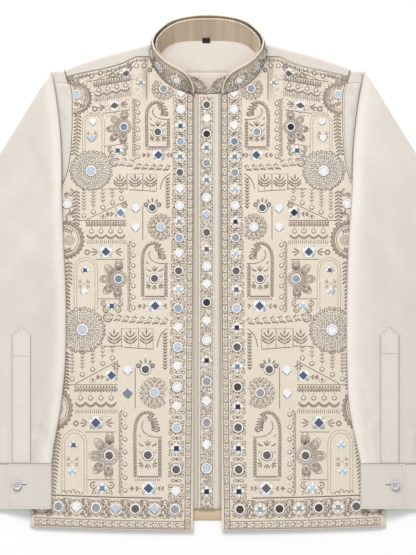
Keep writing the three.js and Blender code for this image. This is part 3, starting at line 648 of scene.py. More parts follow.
def cord_wall(path, radius, sides=10):
    """A solid cord along a path of points."""
    along = unit(np.gradient(path, axis=0))
    up = unit(np.array([0, 0, 1]) - along * along[:, 2:3])
    across = np.cross(along, up)
    turn = np.arange(sides) * 2 * math.pi / sides
    ring = np.cos(turn)[:, None] * across[:, None] + np.sin(turn)[:, None] * up[:, None]
    return wall(*(path[:, None] + r * ring for r in (radius, radius * 0.2)), is_round=True)


for piece in (jacket_collar, kurta_collar):
    paint_shading_and_tone(piece, lambda x, y, z: (
        0.05 * np.sin(x / 3.1) + 0.04 * np.sin(x / 1.7 + 1) + 0.06 * np.sin(x / 11 + 2)
        - 0.10 * smooth(x, 0, 80)))
piping_cloth = cloth("cream satin piping", "f3ebdc", "e0d3bd", Roughness=0.42, Sheen_Weight=0.3)
t = np.linspace(0, 1, 200)
edge_line, into, _, _ = collar_place(JACKET_COLLAR, t, 1.0, COLLAR_WALL / 2)
edge_line[:, 2] += PIPING_RADIUS + 2 * SEAM
piping = make_piece("jacket_collar_cord", [cord_wall(edge_line, PIPING_RADIUS)], [piping_cloth])
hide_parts("jacket_collar_piping")

# The label: a small folded tab of plain black satin ribbon, left blank, sewn in at the neck.
LABEL_WIDTH = 11.6
LABEL_CENTRE_X = -2.6
LABEL_BOTTOM_Y = 344.4
LABEL_TOP_Y = 351.6
LABEL_THICKNESS = 0.8
label_cloth = cloth("black satin ribbon", "1c1c1f", "0e0e10", threads=3000, bump=0.0001, Roughness=0.5)
x, y = spread(
    strips(LABEL_WIDTH, 1), strips(LABEL_TOP_Y - LABEL_BOTTOM_Y, 0.8),
    left=level(LABEL_CENTRE_X - LABEL_WIDTH / 2), right=level(LABEL_CENTRE_X + LABEL_WIDTH / 2),
    top=level(LABEL_TOP_Y), bottom=level(LABEL_BOTTOM_Y))
label_z = KURTA_BACK_Z + KURTA_CLOTH + SEAM + 0.86 * np.maximum(0, y - 346.4)
label = make_piece(
    "neck_label_ribbon", [sheet_wall(x, y, label_z + LABEL_THICKNESS, label_z)], [label_cloth])
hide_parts("neck_label")

# The sleeves: flat tubes of the ivory cloth, folded along the inner and the outer edge. A soft
# roll lies along the inner fold, and a few uneven pleats run into each cuff.
SLEEVE_THICKNESS = 5.8
SLEEVE_DROP_WIDTH = 45
# From x y, to x y, half width, height.
SLEEVE_FOLDS = [
    (226, 96, 300, -6, 11, 0.9), (250, 176, 330, 66, 14, 0.8), (236, -20, 262, -62, 9, 0.7),
    (320, -20, 344, -150, 15, 0.9), (228, -150, 252, -222, 8, 0.8), (244, -232, 247, -283, 4.5, 1.2),
    (260, -246, 259, -283, 3.6, 1), (304, -240, 306, -283, 4.2, 1.1), (322, -228, 318, -283, 4.8, 1.2),
    (341, -244, 336, -283, 4, 0.9),
]


def sleeve_floor(x, y):
    """How high a sleeve's lower face lies: on the jacket by its edge, on the table beyond it."""
    return SLEEVE_Z * (1 - smooth(x - jacket_side_x(y), 1, SLEEVE_DROP_WIDTH))


def flat_loop(width, thickness, inset, across):
    """A flat tube's section: places across it and up it, from the middle of its thickness."""
    radius = thickness / 2
    r = radius - inset
    turn = math.pi * (0.5 - np.linspace(0, 1, 9)[1:-1])
    flat = radius + (width - 2 * radius) * across
    u = np.r_[flat, width - radius + r * np.cos(turn), flat[::-1], radius - r * np.cos(turn)]
    w = np.r_[0 * flat + r, r * np.sin(turn), 0 * flat - r, -r * np.sin(turn)]
    return u, w


def flat_tube(sections, thickness, cloth_wall, across, relief):
    """A flat tube through rows of fold x y, outer x y and bow, with relief on its upper layer."""
    grids = []
    for inset in (0, cloth_wall):
        rings = []
        for fold_x, fold_y, outer_x, outer_y, bow in sections:
            run = np.array([outer_x - fold_x, outer_y - fold_y])
            width = np.hypot(*run)
            along = run / width
            to_body = np.array([-along[1], along[0]]) * math.copysign(1, fold_x)
            u, w = flat_loop(width, thickness, inset, across)
            bulge = bow * 4 * u * (width - u) / width ** 2
            place = np.array([fold_x, fold_y]) + u[:, None] * along + bulge[:, None] * to_body
            x, y = np.abs(place[:, 0]), place[:, 1]
            lift = np.where(w > 0, relief(x, y, u) * w / (thickness / 2), 0) if inset == 0 else 0
            rings.append(np.stack([place[:, 0], y, sleeve_floor(x, y) + thickness / 2 + w + lift], -1))
        grids.append(np.array(rings))
    return wall(*grids, is_round=True)


def sleeve_relief(x, y, u):
    """The roll along the inner fold, and the folds."""
    return np.minimum(1.8, 1.1 * np.exp(-((u - 6) / 5) ** 2) + ridges(SLEEVE_FOLDS, x, y))


SLEEVE_PAINTED_LIGHT_AND_SHADE = {
    # from x y, to x y, half width, how much darker as painted shade, a negative amount being painted light
    "right": [
        (246, 0, 250, -230, 15, 0.035), (262, 196, 236, 128, 9, 0.06), (290, 68, 262, 40, 14, -0.05),
        (300, -100, 300, -280, 14, -0.03), (232, -262, 246, -230, 6, 0.08), (262, -280, 258, -252, 4, 0.08),
    ],
    "left": [
        (300, 120, 312, -60, 24, 0.03), (318, -60, 306, -240, 16, 0.03), (232, -250, 240, -280, 5, 0.08),
        (250, 260, 232, 180, 8, -0.04), (308, -282, 312, -246, 5, 0.08),
    ],
}
UNDERARM_Y = SLEEVE_SECTIONS[0][2]


def down_sleeve(heights, places):
    """One column of the sleeve's sections as a function of another, which gives heights."""
    return curve_through([row[heights] for row in SLEEVE_SECTIONS], [row[places] for row in SLEEVE_SECTIONS])


sleeve_outer_x = down_sleeve(4, 3)


def sleeve_painted_light_and_shade(side, x, y):
    """Painted light and shade: a painted highlight along the roll of the inner fold, broader on the left
    sleeve, and near the outer fold, a painted shadow line at the edge of the inner fold, painted bands of
    shade and light, and paler ridge tops.
    """
    fold = down_sleeve(2, FOLD_COLUMN[side])
    armhole = kurta_side_x(side, y) + ARMHOLE_GAP
    inside = x - np.where(y > UNDERARM_Y, armhole, fold(np.minimum(y, UNDERARM_Y)))
    roll = -0.15 * np.exp(-((inside - 8) / 8) ** 2)
    if side == "left":
        roll = roll - 0.08 * np.exp(-(inside / 36) ** 2)
    outer = -0.07 * (1 - smooth(sleeve_outer_x(y) - x, 4, 30)) * smooth(150 - y, 0, 80)
    edge = 0.45 * np.exp(-((inside - 0.2) / 0.9) ** 2)
    return roll + outer + edge + ridges(SLEEVE_PAINTED_LIGHT_AND_SHADE[side], x, y) - 0.03 * ridges(SLEEVE_FOLDS, x, y)


def sleeve_sections(side, sign, count):
    """A sleeve's sections, with more of them between the given ones."""
    rows = np.array(SLEEVE_SECTIONS, float)
    index = np.arange(len(rows))
    finer = np.linspace(0, len(rows) - 1, count)
    fold, fold_y, outer_x, outer_y, bow = (
        curve_through(index, rows[:, c])(finer) for c in (FOLD_COLUMN[side], 2, 3, 4, 5))
    return np.stack([sign * fold, fold_y, sign * outer_x, outer_y, bow], -1)


for side, sign in SIDES:
    sleeve = make_piece(
        f"sleeve_cloth_{side}",
        [flat_tube(sleeve_sections(side, sign, 110), SLEEVE_THICKNESS, KURTA_CLOTH,
                   np.unique(np.r_[np.linspace(0, 1, 56), np.linspace(0, 0.06, 10)]), sleeve_relief)],
        [ivory_cloth])
    paint_shading_and_tone(sleeve, lambda x, y, z: sleeve_painted_light_and_shade(side, abs(x), y))
    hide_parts(f"sleeve_{side}")

# The cuffs: stiffened double bands, pressed flat, each with an overlap, a topstitched edge and one
# pearly four-hole button.
CUFF_THICKNESS = 6.8
CUFF_CLOTH = 1.8
CUFF_TOP_Y = -285.4
CUFF_BOTTOM_Y = -353.6
CUFF_WIDTH = 120
CUFF_OVERLAP_STEP = 1.1
SLEEVE_TRIM = {
    "right": {"placket_x": 279.8, "button_x": 285.9, "overlap_x": 300},
    "left": {"placket_x": 272.2, "button_x": 280.5, "overlap_x": 295},
}
for side, sign in SIDES:
    fold_x = SLEEVE_SECTIONS[-1][FOLD_COLUMN[side]] + 0.4
    overlap_x = SLEEVE_TRIM[side]["overlap_x"]
    rows = CUFF_TOP_Y - SEAM / 2 + (CUFF_BOTTOM_Y - CUFF_TOP_Y) * strips(68, 4)
    sections = [(sign * fold_x, row, sign * (fold_x + CUFF_WIDTH), row, 0) for row in rows]
    step_at = (overlap_x - fold_x) / CUFF_WIDTH
    across = np.unique(np.r_[np.linspace(0, 1, 30), step_at, step_at + 0.008])
    cuff = make_piece(
        f"cuff_cloth_{side}",
        [flat_tube(sections, CUFF_THICKNESS, CUFF_CLOTH, across,
                   lambda x, y, u: CUFF_OVERLAP_STEP * (1 - smooth(x, overlap_x, overlap_x + 1)))],
        [ivory_cloth])
    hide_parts(f"cuff_{side}")

# The sleeve plackets: a strip with a pointed top over the slit in each sleeve.
SLEEVE_PLACKET_WIDTH = 28.5
SLEEVE_PLACKET_SHOULDER_Y = -93.4
SLEEVE_PLACKET_POINT_Y = -81.4
for side, sign in SIDES:
    centre = SLEEVE_TRIM[side]["placket_x"]
    half = SLEEVE_PLACKET_WIDTH / 2
    drop = SLEEVE_PLACKET_SHOULDER_Y - SLEEVE_PLACKET_POINT_Y
    x, y = spread(
        strips(SLEEVE_PLACKET_WIDTH, 2.4), strips(200, 5),
        left=level(sign * (centre - half)), right=level(sign * (centre + half)),
        top=lambda x: SLEEVE_PLACKET_POINT_Y + drop * abs(abs(x) - centre) / half,
        bottom=level(CUFF_TOP_Y + SEAM))
    low = sleeve_floor(abs(x), y) + SLEEVE_THICKNESS + ridges(SLEEVE_FOLDS, abs(x), y) + SEAM + 0.4
    strip = make_piece(
        f"sleeve_placket_cloth_{side}", [sheet_wall(x, y, low + KURTA_CLOTH, low)], [ivory_cloth])
    paint_shading_and_tone(strip, lambda x, y, z: 0 * x - 0.06)
    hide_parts(f"sleeve_placket_{side}")

# The thread work: taupe, brown and cream silk, stitched by machine through the cream cloth, with
# small glass mirrors held in white thread rims. Motifs are laid out flat in millimetres, with u
# towards the front edge and v up, and each is a row of raised stitches.
THREADS = {
    "taupe": "a3958a", "grey": "9c9089", "dark": "826f62", "brown": "947b64", "sand": "cabbaa",
    "haze": "bbada0", "cream": "f8f0e2", "white": "ffffff", "seam": "b5a48c", "hole": "5a4a40",
}
# Each glass's tint is a painted reflection: it stands in for what that small mirror reflects, from white
# through blues and greys to near black.
GLASS_REFLECTION_TINTS = {
    "white": "fdfdfe", "light": "ccd7e5", "blue": "a9b6c8", "grey": "a6a8ac", "steel": "8593a6",
    "navy": "566479", "dark": "6d6966", "soot": "55493f", "black": "34363c",
}
GLASS_RADIUS = 4.8
RIM_OUTER = 7.0
STITCH_HEIGHT = 0.55
CORNERS = ((1, 1), (-1, 1), (-1, -1), (1, -1))


def line(p, q):
    """The points of a path from two rows of numbers, either of which may be one number."""
    return np.stack(np.broadcast_arrays(np.asarray(p, float), q), -1)


def away(u, v, degrees, reach):
    """The place at a reach from another, along an angle in degrees."""
    way = math.radians(degrees)
    return u + reach * math.cos(way), v + reach * math.sin(way)


def oval(u, v, way, long_reach, short_reach, count):
    """Points round an oval about a place, its long axis along a way in radians."""
    return [(u + long_reach * math.cos(t) * math.cos(way) - short_reach * math.sin(t) * math.sin(way),
             v + long_reach * math.cos(t) * math.sin(way) + short_reach * math.sin(t) * math.cos(way))
            for t in np.linspace(0, 2 * math.pi, count)]


def walk(path, pitch):
    """Even stitches along a path of points: their middles, angles and lengths."""
    path = np.asarray(path, float)
    gaps = np.hypot(*np.diff(path, axis=0).T)
    run = np.r_[0, np.cumsum(gaps)]
    count = max(1, round(run[-1] / pitch))
    ends = np.linspace(0, run[-1], count + 1)
    points = np.stack([np.interp(ends, run, path[:, i]) for i in (0, 1)], -1)
    middles = (points[1:] + points[:-1]) / 2
    steps = np.diff(points, axis=0)
    return middles, np.arctan2(steps[:, 1], steps[:, 0]), np.hypot(*steps.T)


class ThreadWork:
    """The stitches and mirrors of one piece. A motif's place, stretch and lean are set by move."""

    def __init__(self, seed):
        self.stitches = []
        self.mirrors = []
        self.random = np.random.default_rng(seed)
        self.window = lambda p, q: True
        self.growth = lambda q: 1.0
        self.tones = {}
        self.move(0, 0)

    def move(self, p, q, wide=1.0, tall=1.0, lean=lambda u, v: 0.0):
        self.origin = (p, q)
        self.wide, self.tall, self.lean = wide, tall, lean
        self.round = math.sqrt(wide * tall)

    def at(self, u, v):
        return (self.origin[0] + u * self.wide, self.origin[1] + v * self.tall + self.lean(u, v))

    def path(self, *points):
        return np.array([self.at(u, v) for u, v in points])

    def arc(self, u, v, radius, start=0, end=360):
        """Points on a round arc about a place of the motif, between two angles in degrees."""
        turn = np.radians(np.linspace(start, end, max(3, round(abs(end - start) / 10) + 1)))
        p, q = self.at(u, v)
        reach = radius * self.round
        return np.stack([p + reach * np.cos(turn), q + reach * np.sin(turn)], -1)

    def curve(self, *points):
        """Points on a smooth curve through places of the motif."""
        given = self.path(*points)
        flat = np.concatenate([given, np.zeros((len(given), 1))], 1)
        return path_through(flat)(np.linspace(0, 1, 8 * len(points)))[:, :2]

    def stitch(self, p, q, angle, length, width, thread, height=STITCH_HEIGHT):
        """One stitch at a place of the piece. Each differs a little from the next."""
        if self.window(p, q):
            vary = self.random.normal(0, 1, 3)
            # A wide taupe, grey or dark stitch gets a flat dark stitch a little below it: a painted shadow
            # of the raised stitch that also reads as a dark outline.
            if width > 1.7 and thread in ("taupe", "grey", "dark"):
                self.stitches.append((
                    p + 0.2, q - 0.55, angle, length, width, height * 0.5, "dark", 1.0))
            self.stitches.append((
                p, q, angle + 0.05 * vary[0], length * (1 + 0.04 * vary[1]), width, height,
                thread, 1 + 0.07 * vary[2]))

    def leaf(self, u, v, angle, length, width, thread="taupe", height=STITCH_HEIGHT):
        """A raised leaf at a place of the motif, pointing along an angle in degrees."""
        self.stitch(*self.at(u, v), math.radians(angle), length, width, thread, height)

    def run(self, path, width=0.8, thread="taupe", pitch=2.4, height=0.4):
        """Back stitches end to end."""
        for (p, q), angle, gap in zip(*walk(path, pitch)):
            self.stitch(p, q, angle, gap * 1.25, width, thread, height)

    def satin(self, path, breadth, thread="taupe", pitch=1.3, height=0.5, lean=0.0, other=None):
        """Stitches side by side across a path. Every other one may be of another thread."""
        for i, ((p, q), angle, gap) in enumerate(zip(*walk(path, pitch))):
            self.stitch(
                p, q, angle + math.pi / 2 + lean, breadth, gap * 1.15,
                other if other and i % 2 else thread, height)

    def chevrons(self, path, pitch=3.6, length=4.2, width=1.5, spread=42, thread="taupe", out=0.42):
        """Pairs of leaves along a path, one to each side."""
        for (p, q), angle, _ in zip(*walk(path, pitch)):
            for turn in (-1, 1):
                way = angle + turn * math.radians(spread)
                self.stitch(p + out * length * math.cos(way), q + out * length * math.sin(way),
                            way, length, width, thread)

    def petals(self, u, v, radius, count, length, width, thread="taupe", start=0, end=360, height=0.55):
        """Leaves that stand round a centre, pointing away from it."""
        full = abs(end - start) >= 360
        turns = np.radians(np.linspace(start, end, count + full)[:count])
        p, q = self.at(u, v)
        reach = radius * self.round
        for turn in turns:
            self.stitch(p + reach * math.cos(turn), q + reach * math.sin(turn), turn,
                        length * self.round, width, thread, height)

    def patch(self, u, v, half, is_diamond, thread="white", height=0.2):
        """A small flat ground of satin stitch, square or standing on its corner."""
        p, q = self.at(u, v)
        pitch = 1.2
        for row in np.arange(-half + pitch / 2, half, pitch):
            reach = half - abs(row) if is_diamond else half
            self.stitch(p, q + row, 0, 2.4 * reach, pitch * 2.1, thread, height)
            self.stitch(p + row, q, math.pi / 2, 2.4 * reach, pitch * 2.1, thread, height)

    def diamond(self, u, v, half=4.6, thread="dark", core="white"):
        """Four short stitches round one pale knot."""
        p, q = self.at(u, v)
        for i, j in CORNERS:
            self.stitch(p + i * half * 0.45, q + j * half * 0.45, math.atan2(-j, i), half * 1.35,
                        1.6, thread if j < 0 else "taupe", 0.7)
        for turn in (0, math.pi / 2):
            self.stitch(p, q, turn, 4.2, 2.4, core, 0.75)

    def eyelet(self, u, v, radius=3.2, thread="grey"):
        """A small worked ring round one pale knot."""
        p, q = self.at(u, v)
        for turn in np.radians(np.arange(0, 360, 36)):
            self.stitch(p + radius * math.cos(turn), q + radius * math.sin(turn), turn, 2.6, 2.1, thread)
        self.stitch(p, q, 0, 2.6, 2.6, "white", 0.7)

    def sprig(self, u, v, angle, length=13, pairs=3, thread="taupe"):
        """A stem with pairs of leaves and one leaf at its tip."""
        tip = away(u, v, angle, length)
        self.run(self.path((u, v), tip), 1.0, thread)
        self.chevrons(self.path(away(u, v, angle, 1.5), tip), length / pairs, 6.2, 2.1, 42, thread)
        self.leaf(*tip, angle, 6, 2.3, thread)

    def trident(self, u, v, angle, length=11, thread="taupe"):
        """Three long leaves from one point."""
        for turn in (angle - 30, angle, angle + 30):
            reach = 0.55 * length * (1.15 if turn == angle else 1)
            self.leaf(*away(u, v, turn, reach), turn, length, 1.9, thread)

    def vine(self, path, pitch=4.2, length=4.4, thread="taupe"):
        """A stem with pairs of leaves all along it."""
        self.run(path, 1.0, thread)
        self.chevrons(path, pitch, length, 2.1, 45, thread)

    def scroll(self, u, v, size, turn=1, start=0, thread="taupe"):
        """A curled tendril: an open arc with a bud in its middle."""
        self.run(self.arc(u, v, size, start, start + turn * 285), 1.8, thread, 1.9, 0.6)
        self.leaf(u, v, start, size * 0.9, size * 0.55, thread)

    def rounds(self, u, v, inner, outer, thread="haze", height=0.3):
        """A flat ground of thread laid in rings round a centre."""
        for radius in np.arange(inner, outer, 2.2):
            self.run(self.arc(u, v, radius), 2.6, thread, 3.4, height)

    def set_glass(self, p, q, degrees, long_reach, short_reach, shape, tone):
        """One glass, lying at an angle to the piece's own axes."""
        self.mirrors.append((p, q, math.radians(degrees), long_reach, short_reach, shape, tone))

    def mirror(self, u, v, shape="round", tone="white", size=1.0):
        """A glass mirror: round or a diamond in a rim, or on a white ground of the other shape."""
        p, q = self.at(u, v)
        if not self.window(p, q):
            return
        tone = self.tones.get(tone, tone)
        size = size * self.growth(q)
        if shape == "round":
            self.set_glass(p, q, 0, GLASS_RADIUS * size, GLASS_RADIUS * size, "round", tone)
            middle = (GLASS_RADIUS + RIM_OUTER) / 2 * size
            for turn in np.radians(np.arange(0, 360, 15)):
                self.stitch(p + middle * math.cos(turn), q + middle * math.sin(turn), turn + math.pi / 2,
                            3.0 * size, 2.9 * size, "white", 0.5)
            self.run(self.arc(u, v, GLASS_RADIUS * size / self.round), 0.8, "grey", 2.0, 0.7)
            # A dark arc round the left and lower side of the rim is its painted shadow; a paler arc runs
            # round the rest.
            around = (RIM_OUTER * size + 0.6) / self.round
            self.run(self.arc(u, v, around, 140, 330), 1.3, "dark", 2.0, 0.5)
            self.run(self.arc(u, v, around, -30, 140), 1.1, "haze", 2.0, 0.4)
        elif shape == "diamond":
            self.set_glass(p, q, 0, 6.6 * size, 6.6 * size, "square", tone)
            for i, j in CORNERS:
                self.stitch(p + i * 3.7 * size, q + j * 3.7 * size, math.atan2(-j, i), 10.5 * size,
                            1.6, "grey" if j < 0 else "white", 0.8)
        elif shape == "square":
            self.patch(u, v, 7.9 * size, True)
            self.set_glass(p, q, 45, 4.4 * size, 4.4 * size, "square", tone)
        elif shape == "slanted":
            self.patch(u, v, 6.6 * size, False)
            self.set_glass(p, q, 8, 6.2 * size, 4.4 * size, "square", tone)
        else:
            self.patch(u, v, 7.2 * size, False)
            self.set_glass(p, q, 0, 5.8 * size, 5.8 * size, "square", tone)


# The layout of one block of motifs, which is repeated three times down each front about its
# paisley's mirror, wider and taller towards the hem as the front widens.
def corner_bands(work, shoulder):
    """Leaf columns above a slanting line, and the level bands below it."""
    columns = ((-106, 94.4), (-91.7, 99.8), (-77.4, 106.5), (-63.2, 113.6), (-49.8, 120.3))
    for u, foot in columns:
        work.diamond(u, foot)
        work.chevrons(work.path((u, foot + 6), (u, 134)), 5.0, 6.0, 1.7, 46)
        work.run(work.path((u, foot + 5), (u, 131)), 0.9)
    work.run(work.path((-101.7, 88.4), (-41.4, 116.9)), 1.7, "brown")
    work.run(work.path((-114.3, 87.2), (-42.3, 87.2)), 1.7, "brown")
    work.mirror(-51, 98.9, "slanted" if shoulder else "ground", "slant")
    work.sprig(-58.5, 97, 180, 12, 2)
    work.leaf(-77.4, 94, 90, 5.5, 3.4, "grey")
    work.run(work.arc(-77.4, 94, 4.2, 170, 370), 1.2)
    work.petals(-44.9, 110.5, 3.4, 6, 4.8, 2.6)
    work.satin(work.path((-103, 82), (-42, 82)), 8.5, "sand", 2.2, 0.25)
    for u in np.arange(-102, -42, 4.0):
        work.leaf(u, 84.8, 90, 3.0, 2.3, "dark", 0.7)
        work.leaf(u + 2, 84.4, 90, 3.0, 1.6, "cream", 0.8)
        work.leaf(u, 80.4, 90, 5.0, 2.1, "taupe", 0.7)
    for u in (-94.5, -80.3, -65.7, -51.5):
        work.diamond(u, 70.8)
        work.leaf(u, 76.8, 90, 4, 1.4)
        for lift, thread in ((0, "taupe"), (-2.1, "haze")):
            work.run(work.curve(
                (u - 7.1, 65.8 + lift), (u - 3.6, 62.6 + lift), (u, 61.7 + lift), (u + 3.6, 62.6 + lift),
                (u + 7.1, 65.8 + lift)), 2.4, thread, 1.7, 0.6)
    for u in np.arange(-101, -42, 2.9):
        work.leaf(u, 54.8, 90, 9, 1.6, "haze" if round(u / 2.9) % 2 else "taupe", 0.4)
    work.run(work.path((-102, 48.6), (-42, 48.6)), 1.1, "cream")


def middle_vine(work, shoulder):
    """A level vine through a mirror on a white ground, over a brown line."""
    work.mirror(-69.4 if shoulder else -72.9, 40.2, "slanted" if shoulder else "ground", "middle", 1.1)
    work.eyelet(-101, 39.6)
    work.run(work.path((-80, 40.2), (-95, 40.2)), 1.0, "haze")
    work.run(work.path((-62, 40.2), (-47, 40.2)), 1.0, "haze")
    work.trident(-84, 40.2, 180)
    work.trident(-60, 40.2, 0)
    work.run(work.path((-88.4, 28.7), (-44.9, 28.7)), 1.6, "brown")


def mirror_strip_beside_paisley(work, shoulder):
    """Two diamond mirrors on a faint line, between the bands and a brown line."""
    work.run(work.path((-28.4, 112), (-28.4, 56)), 0.9, "cream")
    work.run(work.path((-38.6, 112), (-38.6, -50)), 1.0, "cream")
    work.run(work.path((-23.4, 56), (-23.4, -56)), 1.0, "cream")
    work.run(work.path((-17.7, 108.8), (-17.7, 57.8)), 1.7, "brown")
    if shoulder:
        work.mirror(-27, 88, "square", "upper", 0.9)
    else:
        work.mirror(-28, 105.2, "diamond", "upper")
        work.mirror(-28.4, 76.7, "diamond", "lower")


def petal_ring(work, u, v, radius, count, length, width, thread="taupe"):
    """Outlined petals that stand round a centre."""
    work.petals(u, v, radius, count, length, width, "sand", 0, 360, 0.35)
    for way in np.arange(count) * 2 * math.pi / count:
        middle = (u + radius * math.cos(way), v + radius * math.sin(way))
        edge = oval(*middle, way, length * 0.54, width * 0.6, 11)
        work.run(work.path(*edge), 0.9, thread, 2.2, 0.6)


def crowned_mirror(work, shoulder):
    """A dark mirror under a crown of leaves, a leaf column and a medallion."""
    work.mirror(-3.3, 106.1, "round", "crown")
    for turn in (30, 60, 90, 120, 150):
        work.petals(-3.3, 106.1, 12, 1, 6.5, 3.2, "taupe", turn, turn)
    work.leaf(-3.3, 122.6, 90, 5, 3, "white")
    work.eyelet(-13, 111, 2.6)
    work.eyelet(6.4, 111, 2.6)
    petal_ring(work, 9.3, 77.1, 16.2, 16, 6.2, 4.6)
    petal_ring(work, 9.3, 77.1, 10.6, 10, 4.6, 4.0, "grey")
    work.petals(9.3, 77.1, 16.2, 16, 2.6, 1.6, "cream", 0, 360, 0.9)
    work.petals(9.3, 77.1, 19.6, 32, 2.4, 1.7, "taupe", 0, 360, 0.6)
    work.mirror(9.3, 77.1, "round", "medallion")


def side_arch(work, shoulder):
    """Half a scalloped arch at the side, round a worked ring or a mirror."""
    centre = (-134.4, 58.4)
    work.petals(*centre, 25.2, 40, 7, 3.2, "sand", -100, 100, 0.3)
    for turn in range(-96, 104, 13):
        place = away(*centre, turn, 25.4)
        work.run(work.arc(*place, 2.9, turn - 140, turn + 140), 1.8, "taupe", 1.7, 0.6)
        work.leaf(*place, turn + 90, 4.4, 2.0, "dark")
        work.leaf(*away(*place, turn, 3.4), turn, 3.4, 2.0, "taupe")
    work.run(work.arc(*centre, 20.1, -100, 100), 1.5, "brown")
    u, v = (-117, 59) if shoulder else (-126.9, 57.5)
    for radius, thread in ((2.4, "haze"), (4.8, "taupe"), (7.4, "haze")):
        work.run(work.arc(u, v, radius), 1.1 if shoulder else 1.7, thread, 2, 0.5)
    if shoulder:
        work.mirror(-130.6, 64.5, "round", "side")
        work.vine(work.path((-136, 50), (-118, 44)), 4, 5)
    else:
        work.vine(work.path((-140, 76), (-124, 70)), 4, 5)
        work.vine(work.path((-140, 40), (-126, 44)), 4, 5)


def tall_arch(work, shoulder):
    """Three fine arches one inside the other, round two small mirrors on a faint line."""
    for reach, thread in ((17.6, "haze"), (15.6, "cream"), (13.6, "haze"), (11.6, "cream")):
        top = 31.5 - (17.6 - reach)
        over = [(-103 - reach * math.cos(t), top - reach + reach * math.sin(t))
                for t in np.linspace(0, math.pi, 13)]
        work.run(work.path((-103 - reach, -46), *over, (-103 + reach, -46)), 1.2, thread, 2.0, 0.6)
    work.run(work.path((-104.5, 2), (-105.5, -44)), 1.0, "white")
    shape = "diamond" if shoulder else "square"
    work.mirror(-104.2, 16 if shoulder else 12.6, shape, "arch_top", 0.85)
    work.mirror(-105.9, -13.5 if shoulder else -19.5, shape, "arch_foot", 0.85)
    for turn in (150, 30, 210, 330):
        work.sprig(-105.6, -8, turn, 8, 1, "sand")


def petal(work, u, v, angle, length, width, thread="taupe"):
    """One thick petal: slanting stitches to both sides of a rib, with a dark heart."""
    way = math.radians(angle)
    for off in np.linspace(-0.42, 0.42, 7) * width:
        reach = length * math.sqrt(1 - (1.9 * off / width) ** 2)
        work.leaf(u - off * math.sin(way), v + off * math.cos(way), angle, reach, width * 0.2,
                  "haze" if thread == "dark" else "sand", 0.35)
    edge = oval(u, v, way, 0.53 * length, 0.53 * width, 19)
    work.run(work.path(*edge), 1.2, thread, 2.0, 0.5)
    for step in np.linspace(-0.3, 0.3, 4):
        reach = width * 0.5 * math.sqrt(max(0.05, 1 - (2.1 * step) ** 2))
        for turn in (-1, 1):
            off = turn * reach * 0.5
            along_u, along_v = away(u, v, angle, length * step)
            work.leaf(along_u - off * math.sin(way), along_v + off * math.cos(way),
                      angle + turn * 48, reach, 1.2, "taupe" if turn > 0 else "grey", 0.8)
    work.leaf(*away(u, v, angle, 0.1 * length), angle, 3.4, 2.2, "white", 1.0)
    if thread == "dark":
        work.leaf(*away(u, v, angle, -0.18 * length), angle, 6, 2.0, "hole", 1.0)


def half_flower(work, shoulder):
    """Five thick petals on one side of a ringed mirror."""
    for u, v, angle in (
            (-53.6, 19, 88), (-67, 12.6, 134), (-72.8, -0.8, 180), (-68.6, -15, 224), (-55.2, -20.6, 268)):
        petal(work, u, v, angle, 19, 11.4, "dark" if v < -10 or angle < 100 else "grey")
    work.satin(work.arc(-54.2, -0.6, 10.2), 4.2, "sand", 1.6)
    work.run(work.arc(-54.2, -0.6, 12.6), 1.1, "taupe", 2)
    work.mirror(-54.2, -0.6, "round", "flower")
    work.run(work.path((-84.9, -30.5), (-47.4, -30.5)), 1.5, "brown")


def scroll_pair(work, shoulder):
    """Two curled tendrils beside a small diamond mirror."""
    work.scroll(-76, -37, 4.2, 1, 60)
    work.scroll(-73.6, -46.5, 4, -1, 20)
    work.scroll(-52.2, -37, 4.2, -1, 120)
    work.scroll(-54.4, -46.5, 4, 1, 160)
    work.mirror(-64.1, -41, "square", "scrolls")
    work.run(work.path((-114, -53), (-42, -53)), 1.0, "cream")


def knot_column(work, shoulder):
    """Small diamonds one above the other, with hooked leaves beside them."""
    work.satin(work.path((-38.8, 54), (-38.8, -48)), 5.5, "sand", 2.4, 0.3, 0.5, "haze")
    for v in (50.4, 34.8, 19.5, 3.9, -11.3, -27.9, -43.8):
        work.diamond(-32.0, v, 4.4)
        work.leaf(-38.2, v - 0.6, 70, 7.4, 2.8, "haze")
        work.leaf(-37, v + 4.6, 20, 5, 2.0, "taupe")
        work.leaf(-37, v - 5.2, -30, 4.8, 1.9, "taupe")
        work.leaf(-32.0, v + 7.6, 60, 3.8, 1.6, "sand")


